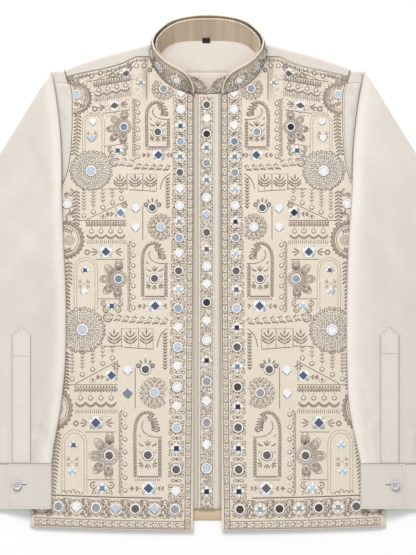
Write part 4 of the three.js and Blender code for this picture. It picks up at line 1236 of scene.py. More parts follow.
def paisley(work, shoulder):
    """A paisley with a thick worked border and a curled tip, round a dark mirror."""
    back = work.curve(
        (-18, -27.5), (-18, 0), (-18, 32), (-15.6, 43), (-8.5, 51.4), (1.2, 53.2), (7.6, 49.8))
    for leg in (back, work.path((16.8, 21.5), (16.8, -26))):
        work.satin(leg, 5.6, "haze", 2.2, 0.35, 0.2, "sand")
        work.chevrons(leg, 4.3, 5.6, 2.0, 36, "taupe", 0.35)
    fern = work.curve((-1.5, 47), (5.5, 45.5), (9.5, 39.5), (10.4, 32))
    work.satin(fern, 4, "haze", 2.1, 0.35, 0.3, "sand")
    work.chevrons(fern, 3.5, 8.4, 2.1, 58, "taupe", 0.36)
    work.run(fern, 1.3, "grey")
    work.run(work.path((-15, -26.5), (15, -26.5)), 2.2, "grey", 1.8, 0.6)
    for u in np.arange(-17, 19, 2.8):
        work.leaf(u, -30.6, 90, 4.2, 1.6, "dark")
    neck = work.curve((-6.4, 42), (-8.6, 36), (-5.4, 28.6), (3, 23.8), (10, 22.4), (20, 22.6))
    work.run(neck, 1.7, "dark", 2, 0.6)
    curled_tip = work.curve((8.2, 35.6), (8.6, 31.2), (12.4, 29.2), (16, 31.2), (15.6, 35.4))
    work.run(curled_tip, 2.0, "taupe", 1.8, 0.6)
    work.trident(-0.2, 10, 90, 9.5)
    for turn in (22, 158):
        work.leaf(9.5 * math.cos(math.radians(turn)), 12.5, turn, 9, 2.0, "taupe")
    work.leaf(-0.2, 24, 90, 4, 2.6, "cream", 0.9)
    for turn in (-38, -90, -142):
        work.trident(7.5 * math.cos(math.radians(turn)), -9, turn, 8)
    for u, v in ((-11.2, 24), (-11.2, 14), (-11.2, 4), (-11, -6), (10.4, 14), (10.4, 4), (10.4, -6)):
        work.leaf(u, v, 90 - 3 * u, 6.4, 2.4, "haze")
    work.mirror(0, 0, "round", "paisley")


def mirror_vine_below(work, shoulder):
    """A mirror on a white ground between two sprigs, and a level vine below it."""
    work.mirror(0.9, -41, "ground", "below", 1.1)
    work.sprig(-8.5, -41, 180, 15, 2)
    work.sprig(10, -41, 0, 12, 2)
    work.run(work.path((-80, -52.5), (22, -52.5)), 1.0, "cream")
    stem = work.path((-68, -57), (-40, -61), (22, -64.5))
    work.run(stem, 1.0, "sand")
    for u in np.arange(-60, 22, 11.6):
        v = float(np.interp(u, (-68, -40, 22), (-57, -61, -64.5)))
        work.leaf(u, v, 158, 7.5, 3.6, "cream", 0.8)
        work.leaf(u - 3.6, v + 4.2, 146, 8.5, 2.2, "taupe")
        work.leaf(u + 1.5, v - 3.6, 196, 9, 2.0, "grey")
        work.leaf(u - 5.4, v - 2.6, 215, 6, 1.9, "taupe")
        work.leaf(u + 3.8, v + 2.2, 118, 4.5, 1.7, "haze")
    for radius, thread in ((6.5, "taupe"), (3.2, "haze")):
        work.run(work.arc(-70, -58, radius, 30, 330), 2.2, thread, 1.8)


def mandala(work, shoulder):
    """A round of worked rings with a ring of pale knots and a mirror in its middle."""
    u, v = (-106.9, -69.8) if shoulder else (-108, -77.3)
    work.rounds(u, v, 8, 26, "cream", 0.2)
    work.petals(u, v, 31, 34, 6.6, 4.2, "sand", 0, 360, 0.4)
    for i, turn in enumerate(range(0, 360, 12)):
        place = away(u, v, turn, 31.5 + 1.2 * (i % 2))
        curl = work.arc(*place, 2.5, turn - 150, turn + 150)
        work.run(curl, 1.7, "grey" if i % 3 else "dark", 1.6, 0.6)
        if i % 3 == 0:
            work.leaf(*place, turn, 3.0, 2.8, "white", 0.9)
    work.run(work.arc(u, v, 26.6), 1.4, "taupe", 2, 0.6)
    work.petals(u, v, 23.4, 36, 4.4, 2.8, "haze")
    work.petals(u, v, 23.2, 18, 4.0, 1.6, "grey")
    petal_ring(work, u, v, 18.4, 18, 6.4, 4.4)
    petal_ring(work, u, v, 12.0, 12, 5.4, 4.0, "grey")
    work.petals(u, v, 18.4, 18, 2.8, 1.6, "cream", 0, 360, 0.9)
    work.petals(u, v, 22.4, 18, 3.0, 2.0, "taupe", 10, 370, 0.7)
    for turn in range(-60, 80, 18):
        work.leaf(*away(u, v, turn, 21.6), turn, 2.6, 2.4, "white", 0.8)
    work.mirror(u, v, "round", "mandala", 1.15)


def plant_band(work, shoulder):
    """Three plants in boxes parted by dotted lines."""
    work.run(work.path((-50, -75), (-2.1, -75)), 1.0, "haze")
    work.run(work.path((-80, -101.5), (-48, -101.5)), 1.8, "brown")
    work.run(work.path((-46, -103), (-2, -106)), 1.8, "brown")
    for u in (-60.8, -36.5, -12.2):
        work.run(work.path((u, -104), (u, -80)), 1.0, "taupe")
        for side_step in (-1, 1):
            for foot, reach in ((-97, 8.6), (-92.5, 8.2), (-87.5, 5.6)):
                work.run(work.curve((u, foot), (u + side_step * reach * 0.6, foot + 1),
                                    (u + side_step * reach, foot + 5)), 1.7, "dark", 2.2, 0.6)
                for step in (0.45, 0.8, 1.05):
                    work.leaf(u + side_step * reach * step, foot + 1 + 4.4 * step * step,
                              90 - side_step * 34, 4.2, 2.0, "taupe")
        work.leaf(u, -79, 90, 7.5, 3.0, "grey")
    for u in (-49.4, -23.9):
        for v in np.arange(-76, -104, -2.6):
            work.leaf(u, v, 60 if round(v) % 2 else 120, 3.4, 1.6, "grey")
    work.run(work.path((-2.1, -76), (-2.1, -105)), 1.2, "taupe")
    work.run(work.curve((3.8, -102.5), (6, -92), (11, -82), (20.6, -74)), 1.9, "brown")
    work.vine(work.path((15.5, -138), (15.5, -82)), 4.8, 5.8)


def block(work, p, q, wide, tall, lean, shoulder=False):
    """One block of motifs about its paisley's mirror."""
    work.move(p, q, wide, tall, lean)
    for motif in (
            corner_bands, middle_vine, mirror_strip_beside_paisley, crowned_mirror, side_arch, tall_arch,
            half_flower, scroll_pair, knot_column, paisley, mirror_vine_below, mandala, plant_band):
        motif(work, shoulder)


def shoulder_lean(u, v):
    """How the upper rows of the first block rise along the shoulder, towards the neck."""
    rise = 2 + 0.17 * np.clip(u + 101, 0, 58)
    level = smooth(v, 88, 95)
    leaning = rise * (0.8 + 0.2 * smooth(v, 42, 50)) * (1 - level) + 4.5 * level
    return float(leaning * smooth(v, -75, -45) * (1 - smooth(u, -42, -36)))


# p, q, how much wider and taller than the middle block.
BLOCKS = [(-53.1, 211.1, 0.936, 0.84), (-57.9, -8.6, 1, 1), (-68, -273.4, 1.069, 1.21)]
MIRROR_NAMES = (
    "slant", "middle", "upper", "lower", "crown", "medallion", "arch_top", "arch_foot", "flower",
    "scrolls", "paisley", "below", "mandala", "side")
# The glass of each named mirror, with its painted reflection, block by block from the shoulder to the hem.
BLOCK_TONES = {
    "right": ["dark dark grey grey dark grey white light steel navy dark navy light light",
              "steel navy white white dark light navy white steel navy dark navy light light",
              "navy navy white steel dark light dark light dark steel dark navy light light"],
    "left": ["dark dark grey grey dark grey white white black navy grey navy white light",
             "black navy white white dark white dark light grey light dark navy white light",
             "navy navy white white dark grey light light dark light dark dark white light"],
}

# The borders of each front: a chain along the front edge and the hem, a strip of mirrors inside it,
# leaves beside the armhole and the side seam, and a bush of small sprigs at the shoulder.
CHAIN_BORDER = (0.5, 8.6)
STRIP_TOP_Y, STRIP_BOTTOM_Y = 269, -340
STRIP_LINE_TOP, STRIP_LINE_BOTTOM = 28.2, 43.8
NECK_CORNER_Y = 272
HEM_LINE_Y = -338
HEM_MIRROR_Y = -355.1
# y, then shape and tone on the right front and on the left, down the strip beside the front edge.
STRIP_MIRRORS = [
    (269, "diamond", "white", "diamond", "white"), (244.9, "round", "white", "round", "white"),
    (220.3, "square", "navy", "diamond", "white"), (197, "round", "blue", "round", "steel"),
    (174.2, "square", "steel", "square", "steel"), (150.4, "round", "dark", "round", "grey"),
    (125.9, "diamond", "white", "square", "light"), (100.6, "round", "white", "round", "white"),
    (76.6, "square", "grey", "square", "black"), (52.7, "round", "blue", "round", "grey"),
    (28.7, "diamond", "white", "square", "light"), (2.8, "round", "dark", "round", "dark"),
    (-25.1, "square", "light", "square", "dark"), (-53.2, "round", "blue", "round", "light"),
    (-82.3, "diamond", "white", "square", "black"), (-111.5, "round", "light", "round", "dark"),
    (-140.6, "diamond", "white", "square", "steel"), (-171.4, "round", "white", "round", "soot"),
    (-200.8, "diamond", "white", "square", "black"), (-232, "round", "light", "round", "dark"),
    (-263.3, "square", "black", "square", "black"), (-295.1, "round", "dark", "round", "dark"),
    (-328, "diamond", "white", "square", "black"),
]
# Distance from the front edge, then shape and tone on the right and on the left, along the hem.
HEM_MIRRORS = [
    (27.6, "round", "grey", "round", "soot"), (58, "diamond", "light", "square", "grey"),
    (86.9, "round", "dark", "round", "soot"), (116.1, "diamond", "light", "square", "grey"),
    (145.8, "round", "grey", "round", "soot"), (174.9, "diamond", "white", "square", "grey"),
    (202, "round", "grey", "round", "dark"), (226.8, "diamond", "white", "square", "grey"),
]


def mirror_growth(q):
    """How much larger the mirrors are towards the hem."""
    return 1 + 0.17 * float(smooth(-q, -200, 350))


def strip_line(q):
    """How far from the front edge the strip's outer line runs."""
    t = (STRIP_TOP_Y - q) / (STRIP_TOP_Y - STRIP_BOTTOM_Y)
    return STRIP_LINE_TOP + (STRIP_LINE_BOTTOM - STRIP_LINE_TOP) * t


def hem_rise(out):
    """How much higher the hem lies at a distance from the front edge."""
    return HEM_CORNER_RISE * ((out + JACKET_FRONT_EDGE["right"]) / FRONT_WIDEST) ** 2


def mirror_cell(work, u, v, shape, tone, gap):
    """A mirror with a wreath round it, and a bud towards the next one."""
    work.mirror(u, v, shape, tone)
    for turn in range(0, 360, 30):
        reach, thread = (10.2, "haze") if turn % 60 else (9.4, "taupe")
        work.leaf(*away(u, v, turn + 15, reach), turn + 77, 4.6, 2.2, thread)
    for i, j in ((-1, -1), (-1, 1), (1, -1), (1, 1)):
        start = math.degrees(math.atan2(j, i))
        curl = work.arc(u + i * 8.6, v + j * 8.8, 2.5, start - 150, start + 150)
        work.run(curl, 1.4, "taupe", 1.5, 0.6)
    for i in (-1, 1):
        for step in (3, 6.5, 10):
            work.leaf(u + i * 10.6, v - step, 90 + i * 40, 4.6, 1.8, "haze")
            work.leaf(u + i * 10.6, v + step, 90 - i * 40, 4.6, 1.8, "haze")
    work.leaf(u, v - gap, 90, 5, 2.6, "dark", 0.8)
    for turn in (28, 152, 208, 332):
        way = math.radians(turn)
        work.leaf(u + 4.0 * math.cos(way), v - gap + 3.2 * math.sin(way), turn, 5.6, 1.7, "taupe")
        work.leaf(u + 7.6 * math.cos(way), v - gap + 2.4 * math.sin(way), 180 - turn, 4.6, 2.0, "haze")


def chain(work, path, breadth):
    """A border of small dark curls and pale knots on a pale ground, between two brown lines."""
    across = np.array([-(path[-1] - path[0])[1], (path[-1] - path[0])[0]])
    across = across / np.hypot(*across)
    for step in (-0.5, 0.5):
        work.run(path + across * step * breadth, 1.5, "dark", 2.4, 0.6)
    for step in (-0.25, 0.25):
        work.satin(path + across * step * breadth, breadth * 0.42, "cream", 2.2, 0.35,
                   math.copysign(0.7, step), "sand")
    for i, ((p, q), angle, _) in enumerate(zip(*walk(path, 6.1))):
        if i % 2:
            work.stitch(p, q, angle, 4.6, 1.2, "taupe", 0.8)
            for step in (-2.4, 2.4):
                work.stitch(p + across[0] * step, q + across[1] * step, angle, 3.0, 2.0, "cream", 0.8)
            continue
        turn = math.degrees(angle)
        curl = np.radians(np.linspace(turn - 110, turn + 150, 8))
        reach = 0.24 * breadth
        work.run(line(p + reach * np.cos(curl), q + reach * np.sin(curl)), 1.4, "dark", 1.6, 0.8)
        work.stitch(p, q, angle + 0.8, 2.2, 1.8, "white", 0.9)
        for step in (-3.4, 3.4):
            work.stitch(p + across[0] * step, q + across[1] * step, angle, 2.6, 1.3, "taupe", 0.7)


def border_shift(q):
    """How much further from the front edge the borders run, towards the hem."""
    return 4.3 * ((NECK_CORNER_Y - q) / 660) ** 2.5


def front_borders(work, side):
    """The borders down the front edge, along the hem and beside the armhole."""
    work.move(0, 0)
    chosen = 1 if side == "right" else 3
    edge_x = JACKET_FRONT_EDGE["right"]
    middle = sum(CHAIN_BORDER) / 2
    breadth = CHAIN_BORDER[1] - CHAIN_BORDER[0]
    heights = np.linspace(NECK_CORNER_Y, JACKET_HEM_Y + 2, 60)
    chain(work, line(-middle - border_shift(heights), heights), breadth)
    # A dark line down the armhole edge is a painted shadow of the edge, and a thick brown line near the
    # shoulder point is painted shade under the end of the shoulder wrap.
    for heights, inset, width, thread, height in (
            (np.linspace(299, 134, 60), 0.9, 1.4, "dark", 0.5),
            (np.linspace(300, 281, 10), 1.4, 2.4, "brown", 0.6)):
        out = edge_x - jacket_side_x(np.minimum(heights, SHOULDER_END_Y)) + inset
        work.run(line(out, heights), width, thread, 2.4, height)
    across_top = np.linspace(90, 209, 50)
    work.run(line(edge_x - across_top, jacket_front_top_y(across_top) - 0.9), 1.5, "brown", 2.4, 0.5)
    heights = np.linspace(NECK_CORNER_Y, HEM_LINE_Y, 40)
    work.run(line(-strip_line(heights), heights), 1.7, "cream", 2.4, 0.9)
    work.run(line(-10.4 - border_shift(heights), heights), 1.2, "cream", 2.4, 0.6)
    for i, row in enumerate(STRIP_MIRRORS):
        v, shape, tone = row[0], *row[chosen:chosen + 2]
        below = STRIP_MIRRORS[i + 1][0] if i + 1 < len(STRIP_MIRRORS) else HEM_MIRROR_Y
        u = -(CHAIN_BORDER[1] + strip_line(v)) / 2
        mirror_cell(work, u, v, shape, tone, (v - below) / 2)
    out = np.linspace(CHAIN_BORDER[1], 238, 50)
    across_hem = line(-out, HEM_LINE_Y + hem_rise(out))
    inside = out > strip_line(HEM_LINE_Y)
    work.run(across_hem[inside], 1.8, "dark", 2.4, 0.6)
    work.run(across_hem[inside] + [0, 2.8], 1.3, "cream", 2.4, 0.7)
    chain(work, line(-out, JACKET_HEM_Y + 8 + hem_rise(out)), 11.4)
    for row in HEM_MIRRORS:
        place, shape, tone = row[0], *row[chosen:chosen + 2]
        v = HEM_MIRROR_Y + hem_rise(place)
        work.mirror(-place, v, shape, tone)
        for turn in range(0, 360, 20):
            thread = "taupe" if turn % 40 else "haze"
            work.leaf(*away(-place, v, turn + 10, 11.4), turn + 60, 5.4, 2.2, thread)
        halfway = -place - 14.8
        work.run(work.arc(halfway, v, 2.0, 0, 300), 1.8, "dark", 1.6, 0.8)
        work.leaf(halfway, v, 30, 2.4, 2.0, "white", 0.9)
        for j in (-1, 1):
            work.run(work.arc(halfway, v + j * 11, 3, 90 * j - 160, 90 * j + 160), 1.7, "brown", 1.6, 0.6)
            work.leaf(halfway, v + j * 4.6, 90, 5.4, 2.6, "grey", 0.8)
            work.leaf(halfway + j * 5.4, v, 0, 5, 2.4, "haze")
            work.run(work.arc(halfway + j * 3.8, v - j * 7.6, 2.6, 60, 320), 1.5, "taupe", 1.6, 0.6)
            for i in (-1, 1):
                curl = work.arc(-place + i * 9.5, v + j * 10.5, 2.8, 40 * i, 40 * i + 260)
                work.run(curl, 1.5, "taupe", 1.7, 0.6)
                work.leaf(-place + i * 9.5, v + j * 10.5, 45 * i * j, 3, 1.6, "grey")
            work.leaf(halfway - j * 5, v + 12.2 * j, 30 * j, 4.6, 1.8, "taupe")
            for i in (-1, 1):
                work.leaf(halfway + i * 4.4, v + j * 8, 90 - i * j * 40, 5.4, 2.2, "taupe")
    for side_path, thread in SIDE_VINES:
        path = np.array([(edge_x - x, y) for x, y in side_path])
        work.chevrons(path, 5.4, 7.6, 2.3, 52, thread, 0.5)
        work.chevrons(path, 5.4, 3.4, 2.0, 20, "haze", 0.9)
        work.run(path, 1.0, "sand")
    work.move(edge_x, 0)
    # A thick brown line round the shoulder corner, past the window, is painted shade where the shoulder wrap
    # ends.
    work.window = lambda p, q: True
    work.run(work.path((-215, 304), (-212.4, 294), (-209.4, 284)), 2.2, "brown", 2.0, 0.9)
    work.window = front_window
    work.mirror(-211, 103.4, "round", "white", 1.05)
    for x, y, size, start in ((-207, 121, 5, 200), (-208, 84, 5, 0), (-212, 117, 3, 40), (-205, 92, 3, 120)):
        work.run(work.arc(x, y, size, start, start + 250), 1.9, "taupe", 1.7, 0.6)
        work.run(work.arc(x, y, size * 0.5, start, start + 250), 1.6, "haze", 1.7, 0.5)


def shoulder_flowers(work):
    """A bush in the corner between the shoulder and the armhole, and the leaf row at the seam."""
    work.move(0, 0)
    for p in np.arange(-186, -78, 3.6):
        for q in np.arange(236, 300, 3.6):
            if work.random.random() < 0.7:
                shift, turn = work.random.normal(0, 0.8, 2), work.random.uniform(0, 180)
                work.leaf(p + shift[0], q + shift[1], turn, 4, 1.4, "haze" if turn < 90 else "sand", 0.25)
    for p, q, angle in ((-172, 289, 60), (-179, 284, 110), (-168, 293, 30), (-183, 291, 90)):
        work.sprig(p, q, angle, 9, 2)
        work.sprig(p, q, angle + 180, 7, 2, "haze")
    for p in np.arange(-184, -66, 3.2):
        top = float(jacket_front_top_y(JACKET_FRONT_EDGE["right"] - p))
        work.leaf(p, top - 5.2, 78, 6, 2.4, "taupe" if round(p / 3.2) % 2 else "haze")
    for p in np.arange(-120, -70, 11.6):
        top = float(jacket_front_top_y(JACKET_FRONT_EDGE["right"] - p))
        work.diamond(p, top - 14)


# x y down each stretch of leaves beside the armhole and the side seam, and their thread.
SIDE_VINES = [
    ([(195, 240), (196.2, 205), (200, 178)], "taupe"), ([(197.5, 126), (197.5, 74)], "taupe"),
    ([(208.5, 20), (209, -15)], "taupe"), ([(212, -15), (212, -53)], "dark"),
    ([(213, -116), (213, -173)], "dark"), ([(225, -236), (234, -333)], "taupe"),
]
sleeve_fold_x = down_sleeve(2, 0)


def front_window(p, q):
    """Whether a place lies on the worked part of a front."""
    x = JACKET_FRONT_EDGE["right"] - p
    under_sleeve = sleeve_fold_x(q) + 3 if -285 < q < UNDERARM_Y else FAR
    under_collar = 274 + 0.55 * max(0, x - 50) if x < 80 else FAR
    beside = min(jacket_side_x(min(q, SHOULDER_END_Y)) - 0.6, under_sleeve)
    top = min(jacket_front_top_y(x) - 0.5, under_collar)
    return x < beside and q < top and q > JACKET_HEM_Y + 1 + HEM_CORNER_RISE * (x / FRONT_WIDEST) ** 2


def field_window(p, q):
    """Whether a place lies between a front's borders."""
    x = JACKET_FRONT_EDGE["right"] - p
    clear = -p > strip_line(q) + 1.5 and q > HEM_LINE_Y + hem_rise(-p) + 3.5
    return clear and x < jacket_side_x(q) - 3 and q < jacket_front_top_y(x) - 3 and front_window(p, q)


# How the thread and the glass are made: one five-sided stitch or one flat glass is set on each
# point of a cloud of points by Geometry Nodes, and takes its size, turn and tint from the point.
def points_tree(name, shape):
    """Sets one stitch, or one glass, on each point, turned along its thread and sized by it."""
    tree = bpy.data.node_groups.new(name, "GeometryNodeTree")
    tree.is_modifier = True
    for label, kind in (("Geometry", "Geometry"), ("Sides", "Int"), ("Finish", "Material")):
        tree.interface.new_socket(label, in_out="INPUT", socket_type="NodeSocket" + kind)
    tree.interface.new_socket("Geometry", in_out="OUTPUT", socket_type="NodeSocketGeometry")
    given = add_node(tree, "NodeGroupInput")

    def named(attribute):
        made = add_node(tree, "GeometryNodeInputNamedAttribute", data_type="FLOAT_VECTOR")
        made.inputs["Name"].default_value = attribute
        return made.outputs["Attribute"]

    if shape == "stitch":
        form = add_node(tree, "GeometryNodeMeshUVSphere", {"Segments": given.outputs["Sides"], "Rings": 2})
        form.inputs["Radius"].default_value = 0.5
    else:
        form = add_node(tree, "GeometryNodeMeshCylinder", {"Vertices": given.outputs["Sides"]})
        form.inputs["Radius"].default_value = 0.5
        form.inputs["Depth"].default_value = 1.0
    turn = add_node(
        tree, "FunctionNodeAxesToRotation",
        {"Primary Axis": named("up"), "Secondary Axis": named("along")},
        primary_axis="Z", secondary_axis="X")
    placed = add_node(tree, "GeometryNodeInstanceOnPoints", {
        "Points": given.outputs["Geometry"], "Instance": form.outputs["Mesh"],
        "Rotation": turn.outputs[0], "Scale": named("size")})
    real = add_node(tree, "GeometryNodeRealizeInstances", {"Geometry": placed.outputs[0]})
    shaded = add_node(tree, "GeometryNodeSetShadeSmooth", {"Geometry": real.outputs[0]})
    shaded.inputs["Shade Smooth"].default_value = shape == "stitch"
    finished = add_node(tree, "GeometryNodeSetMaterial", {
        "Geometry": shaded.outputs[0], "Material": given.outputs["Finish"]})
    add_node(tree, "NodeGroupOutput", {"Geometry": finished.outputs[0]})
    return tree


stitch_tree = points_tree("stitches", "stitch")
glass_tree = points_tree("glasses", "glass")


def set_pieces(name, tree, sides, finish, place, along, up, size, tint):
    """One mesh piece with a stitch or a glass at each place. Places and sizes are millimetres."""
    mesh = bpy.data.meshes.new(name + " points")
    mesh.from_pydata((place * MM).tolist(), [], [])
    for label, values in (("along", along), ("up", up), ("size", size * MM)):
        mesh.attributes.new(label, "FLOAT_VECTOR", "POINT").data.foreach_set(
            "vector", np.ascontiguousarray(values, np.float32).ravel())
    mesh.attributes.new("tint", "FLOAT_COLOR", "POINT").data.foreach_set(
        "color", np.ascontiguousarray(tint, np.float32).ravel())
    points = bpy.data.objects.new(name + " points", mesh)
    bpy.context.collection.objects.link(points)
    modifier = points.modifiers.new("set", "NODES")
    modifier.node_group = tree
    for socket in tree.interface.items_tree:
        if socket.name == "Sides":
            modifier[socket.identifier] = sides
        elif socket.name == "Finish":
            modifier[socket.identifier] = finish
    bpy.context.view_layer.update()
    graph = bpy.context.evaluated_depsgraph_get()
    done = bpy.data.meshes.new_from_object(points.evaluated_get(graph))
    bpy.data.objects.remove(points)
    done.name = name
    made = bpy.data.objects.new(name, done)
    bpy.context.collection.objects.link(made)
    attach(made, "root")
    return made


def tinted(name, shift, metallic=False, **finish):
    """A finish whose colour comes from each stitch's or glass's own tint."""
    material, tree, surface = new_material(name, **finish)
    tint = add_node(tree, "ShaderNodeAttribute", attribute_name="tint")
    place = add_node(tree, "ShaderNodeTexCoord")
    grain = add_node(tree, "ShaderNodeTexNoise", {
        "Vector": place.outputs["Object"], "Scale": shift, "Detail": 2.0})
    amount = add_node(tree, "ShaderNodeMapRange", {
        "Value": grain.outputs[0], "From Min": 0.3, "From Max": 0.7, "To Min": 0.86, "To Max": 1.1})
    shaded = add_node(tree, "ShaderNodeVectorMath", {
        0: tint.outputs["Color"], 1: amount.outputs[0]}, operation="MULTIPLY")
    tree.links.new(shaded.outputs[0], surface.inputs["Base Color"])
    if not metallic:
        ribs = add_node(tree, "ShaderNodeBump", {
            "Height": grain.outputs[0], "Distance": 0.0004, "Strength": 0.6})
        tree.links.new(ribs.outputs[0], surface.inputs["Normal"])
    return material


thread_finish = tinted("silk thread", 2600, Roughness=0.55, Sheen_Weight=0.2)
glass_finish = tinted("mirror glass", 260, True, Metallic=0.4, Roughness=0.12)


def sew(name, work, surface):
    """Sets a work's stitches and mirrors on a surface, which gives place, two ways and the up way."""
    rows = work.stitches
    p, q, angle, length, width, height = np.array([row[:6] for row in rows]).T
    place, way_p, way_q, up = surface(p, q)
    along = way_p * np.cos(angle)[:, None] + way_q * np.sin(angle)[:, None]
    shade = np.array([row[7] for row in rows])[:, None]
    dyes = {key: np.array(dye(code)) for key, code in THREADS.items()}
    shades = np.hstack([shade, shade, shade, 0 * shade + 1])
    tint = np.clip(np.array([dyes[row[6]] for row in rows]) * shades, 0, 1)
    set_pieces(name, stitch_tree, 5, thread_finish, place, along, up,
               np.stack([length, width, 2 * height], -1), tint)
    tones = {key: np.array(dye(code)) for key, code in GLASS_REFLECTION_TINTS.items()}
    for shape, sides in (("round", 20), ("square", 4)):
        chosen = [row for row in work.mirrors if row[5] == shape]
        if not chosen:
            continue
        p, q, angle, long_reach, short_reach = np.array([row[:5] for row in chosen]).T
        place, way_p, way_q, up = surface(p, q)
        along = way_p * np.cos(angle)[:, None] + way_q * np.sin(angle)[:, None]
        tint = np.array([tones[row[6]] for row in chosen])
        set_pieces(f"{name}_{shape}_mirrors", glass_tree, sides, glass_finish, place + up * 0.45, along,
                   up, 2 * np.stack([long_reach, short_reach, 0 * p + 0.25], -1), tint)


# Both fronts' thread work. The field and the borders of a front are sewn as two pieces, each laid
# out with p towards the front edge and q up the set.
def level_places(x, y, z, sign=1):
    """Places on a level face, with the ways of p, of q and off the face at each of them."""
    ways = np.broadcast_to(np.eye(3) * [sign, 1, 1], (len(y), 3, 3))
    return np.stack(np.broadcast_arrays(x, y, z), -1), ways[:, 0], ways[:, 1], ways[:, 2]


def front_surface(side, sign):
    """Places on a jacket front for distances towards its front edge and heights on it."""
    def read(p, q):
        x = sign * (JACKET_FRONT_EDGE[side] - p)
        return level_places(x, q, front_height(x, q), -sign)
    return read


for side, sign in SIDES:
    front_work = ThreadWork(seed=7)
    front_work.growth = mirror_growth
    front_work.window = field_window
    for i, (p, q, wide, tall) in enumerate(BLOCKS):
        lean = shoulder_lean if i == 0 else (lambda u, v: 0.0)
        front_work.tones = dict(zip(MIRROR_NAMES, BLOCK_TONES[side][i].split()))
        block(front_work, p, q, wide, tall, lean, shoulder=i == 0)
    shoulder_flowers(front_work)
    sew(f"front_motifs_{side}", front_work, front_surface(side, sign))
    border_work = ThreadWork(seed=8)
    border_work.growth = mirror_growth
    border_work.window = front_window
    front_borders(border_work, side)
    sew(f"front_borders_{side}", border_work, front_surface(side, sign))

# The placket's thread work: one mirror after another down the middle, on a ground of small slanting
# stitches, between cream edges.
# Height, shape and tone.
PLACKET_MIRRORS = [
    (251.8, "round", "dark"), (230.6, "diamond", "white"), (208.1, "round", "black"),
    (187.4, "square", "steel"), (164.6, "round", "grey"), (139.1, "square", "steel"),
    (112.4, "round", "white"), (87.2, "diamond", "light"), (60.5, "round", "dark"),
    (35.6, "square", "dark"), (9.7, "round", "white"), (-17.5, "diamond", "white"),
    (-44.5, "round", "black"), (-72.1, "diamond", "white"), (-101.2, "round", "white"),
    (-131.5, "square", "black"), (-163.1, "round", "grey"), (-192.7, "diamond", "white"),
    (-224.8, "round", "grey"), (-258, "diamond", "white"), (-293.2, "round", "light"),
    (-328, "square", "black"),
]
placket_work = ThreadWork(seed=11)
placket_work.growth = mirror_growth
for v, shape, tone in PLACKET_MIRRORS:
    placket_work.mirror(0, v, shape, tone)
    for turn in range(0, 360, 36):
        reach_u, reach_v = away(0, 0, turn + 18, 9.4)
        placket_work.leaf(0.9 * reach_u, v + reach_v, turn + 78, 4, 1.6, "haze")
centres = np.array([row[0] for row in PLACKET_MIRRORS])
for i, v in enumerate(np.arange(PLACKET_TOP_Y - 3, KURTA_HEM_Y + 1, -2.5)):
    for u in np.arange(-7.6, 8, 3.1) + (i % 2) * 1.2:
        to_mirror = abs(u) + np.min(np.abs(centres - v))
        if to_mirror > 10.4 and abs(u) < 8.4:
            thread = ("taupe", "haze", "sand", "haze", "grey", "cream")[placket_work.random.integers(6)]
            placket_work.leaf(u, v, 90 + math.copysign(38, u), 4.2, 1.9, thread, 0.6)
heights = np.linspace(PLACKET_TOP_Y - 1, KURTA_HEM_Y + 1, 40)
for reach, thread, width in ((9.3, "taupe", 0.9), (10.6, "cream", 1.8)):
    for u in (-reach, reach):
        placket_work.run(line(u, heights), width, thread, 2.4, 0.6)


def placket_surface(p, q):
    """Places on the placket for distances from its middle and heights on the set."""
    return level_places(PLACKET_CENTRE_X + p, q, placket_z + PLACKET_CLOTH)


sew("placket_thread_work", placket_work, placket_surface)

# The collars' thread work: dense rows of small leaves round each band, with mirrors round the
# jacket's, two brown lines under its piping and a pale cord along the kurta's free edge.
COLLAR_DEEP = 34
COLLAR_MIRROR_Y = 15.5
# Height, thread and width of the lines that run round each collar.
COLLAR_LINES = ((1.0, "hole", 1.5), (2.8, "dark", 1.4), (27.4, "brown", 1.3), (31.2, "dark", 1.9))


def collar_length(half):
    """How long a collar's band is, round its middle."""
    middle, _, _, _ = collar_place(half, np.linspace(0, 1, 400), 0.5)
    return float(np.linalg.norm(np.diff(middle, axis=0), axis=1).sum())


def collar_surface(half, length):
    """Places on a collar's outer side for distances round it and up it."""
    def read(p, q):
        place, into, tangent, rise = collar_place(half, p / length, q / COLLAR_DEEP)
        out = unit(np.cross(tangent, rise))
        return place, tangent, rise, -out * np.sign((out * into).sum(-1))[:, None]
    return read


def collar_edge_surface(half, length):
    """Places along a collar's free edge."""
    def read(p, q):
        place, into, tangent, rise = collar_place(half, p / length, 1.0, COLLAR_WALL / 2)
        return place + into * q[:, None], tangent, into, rise
    return read


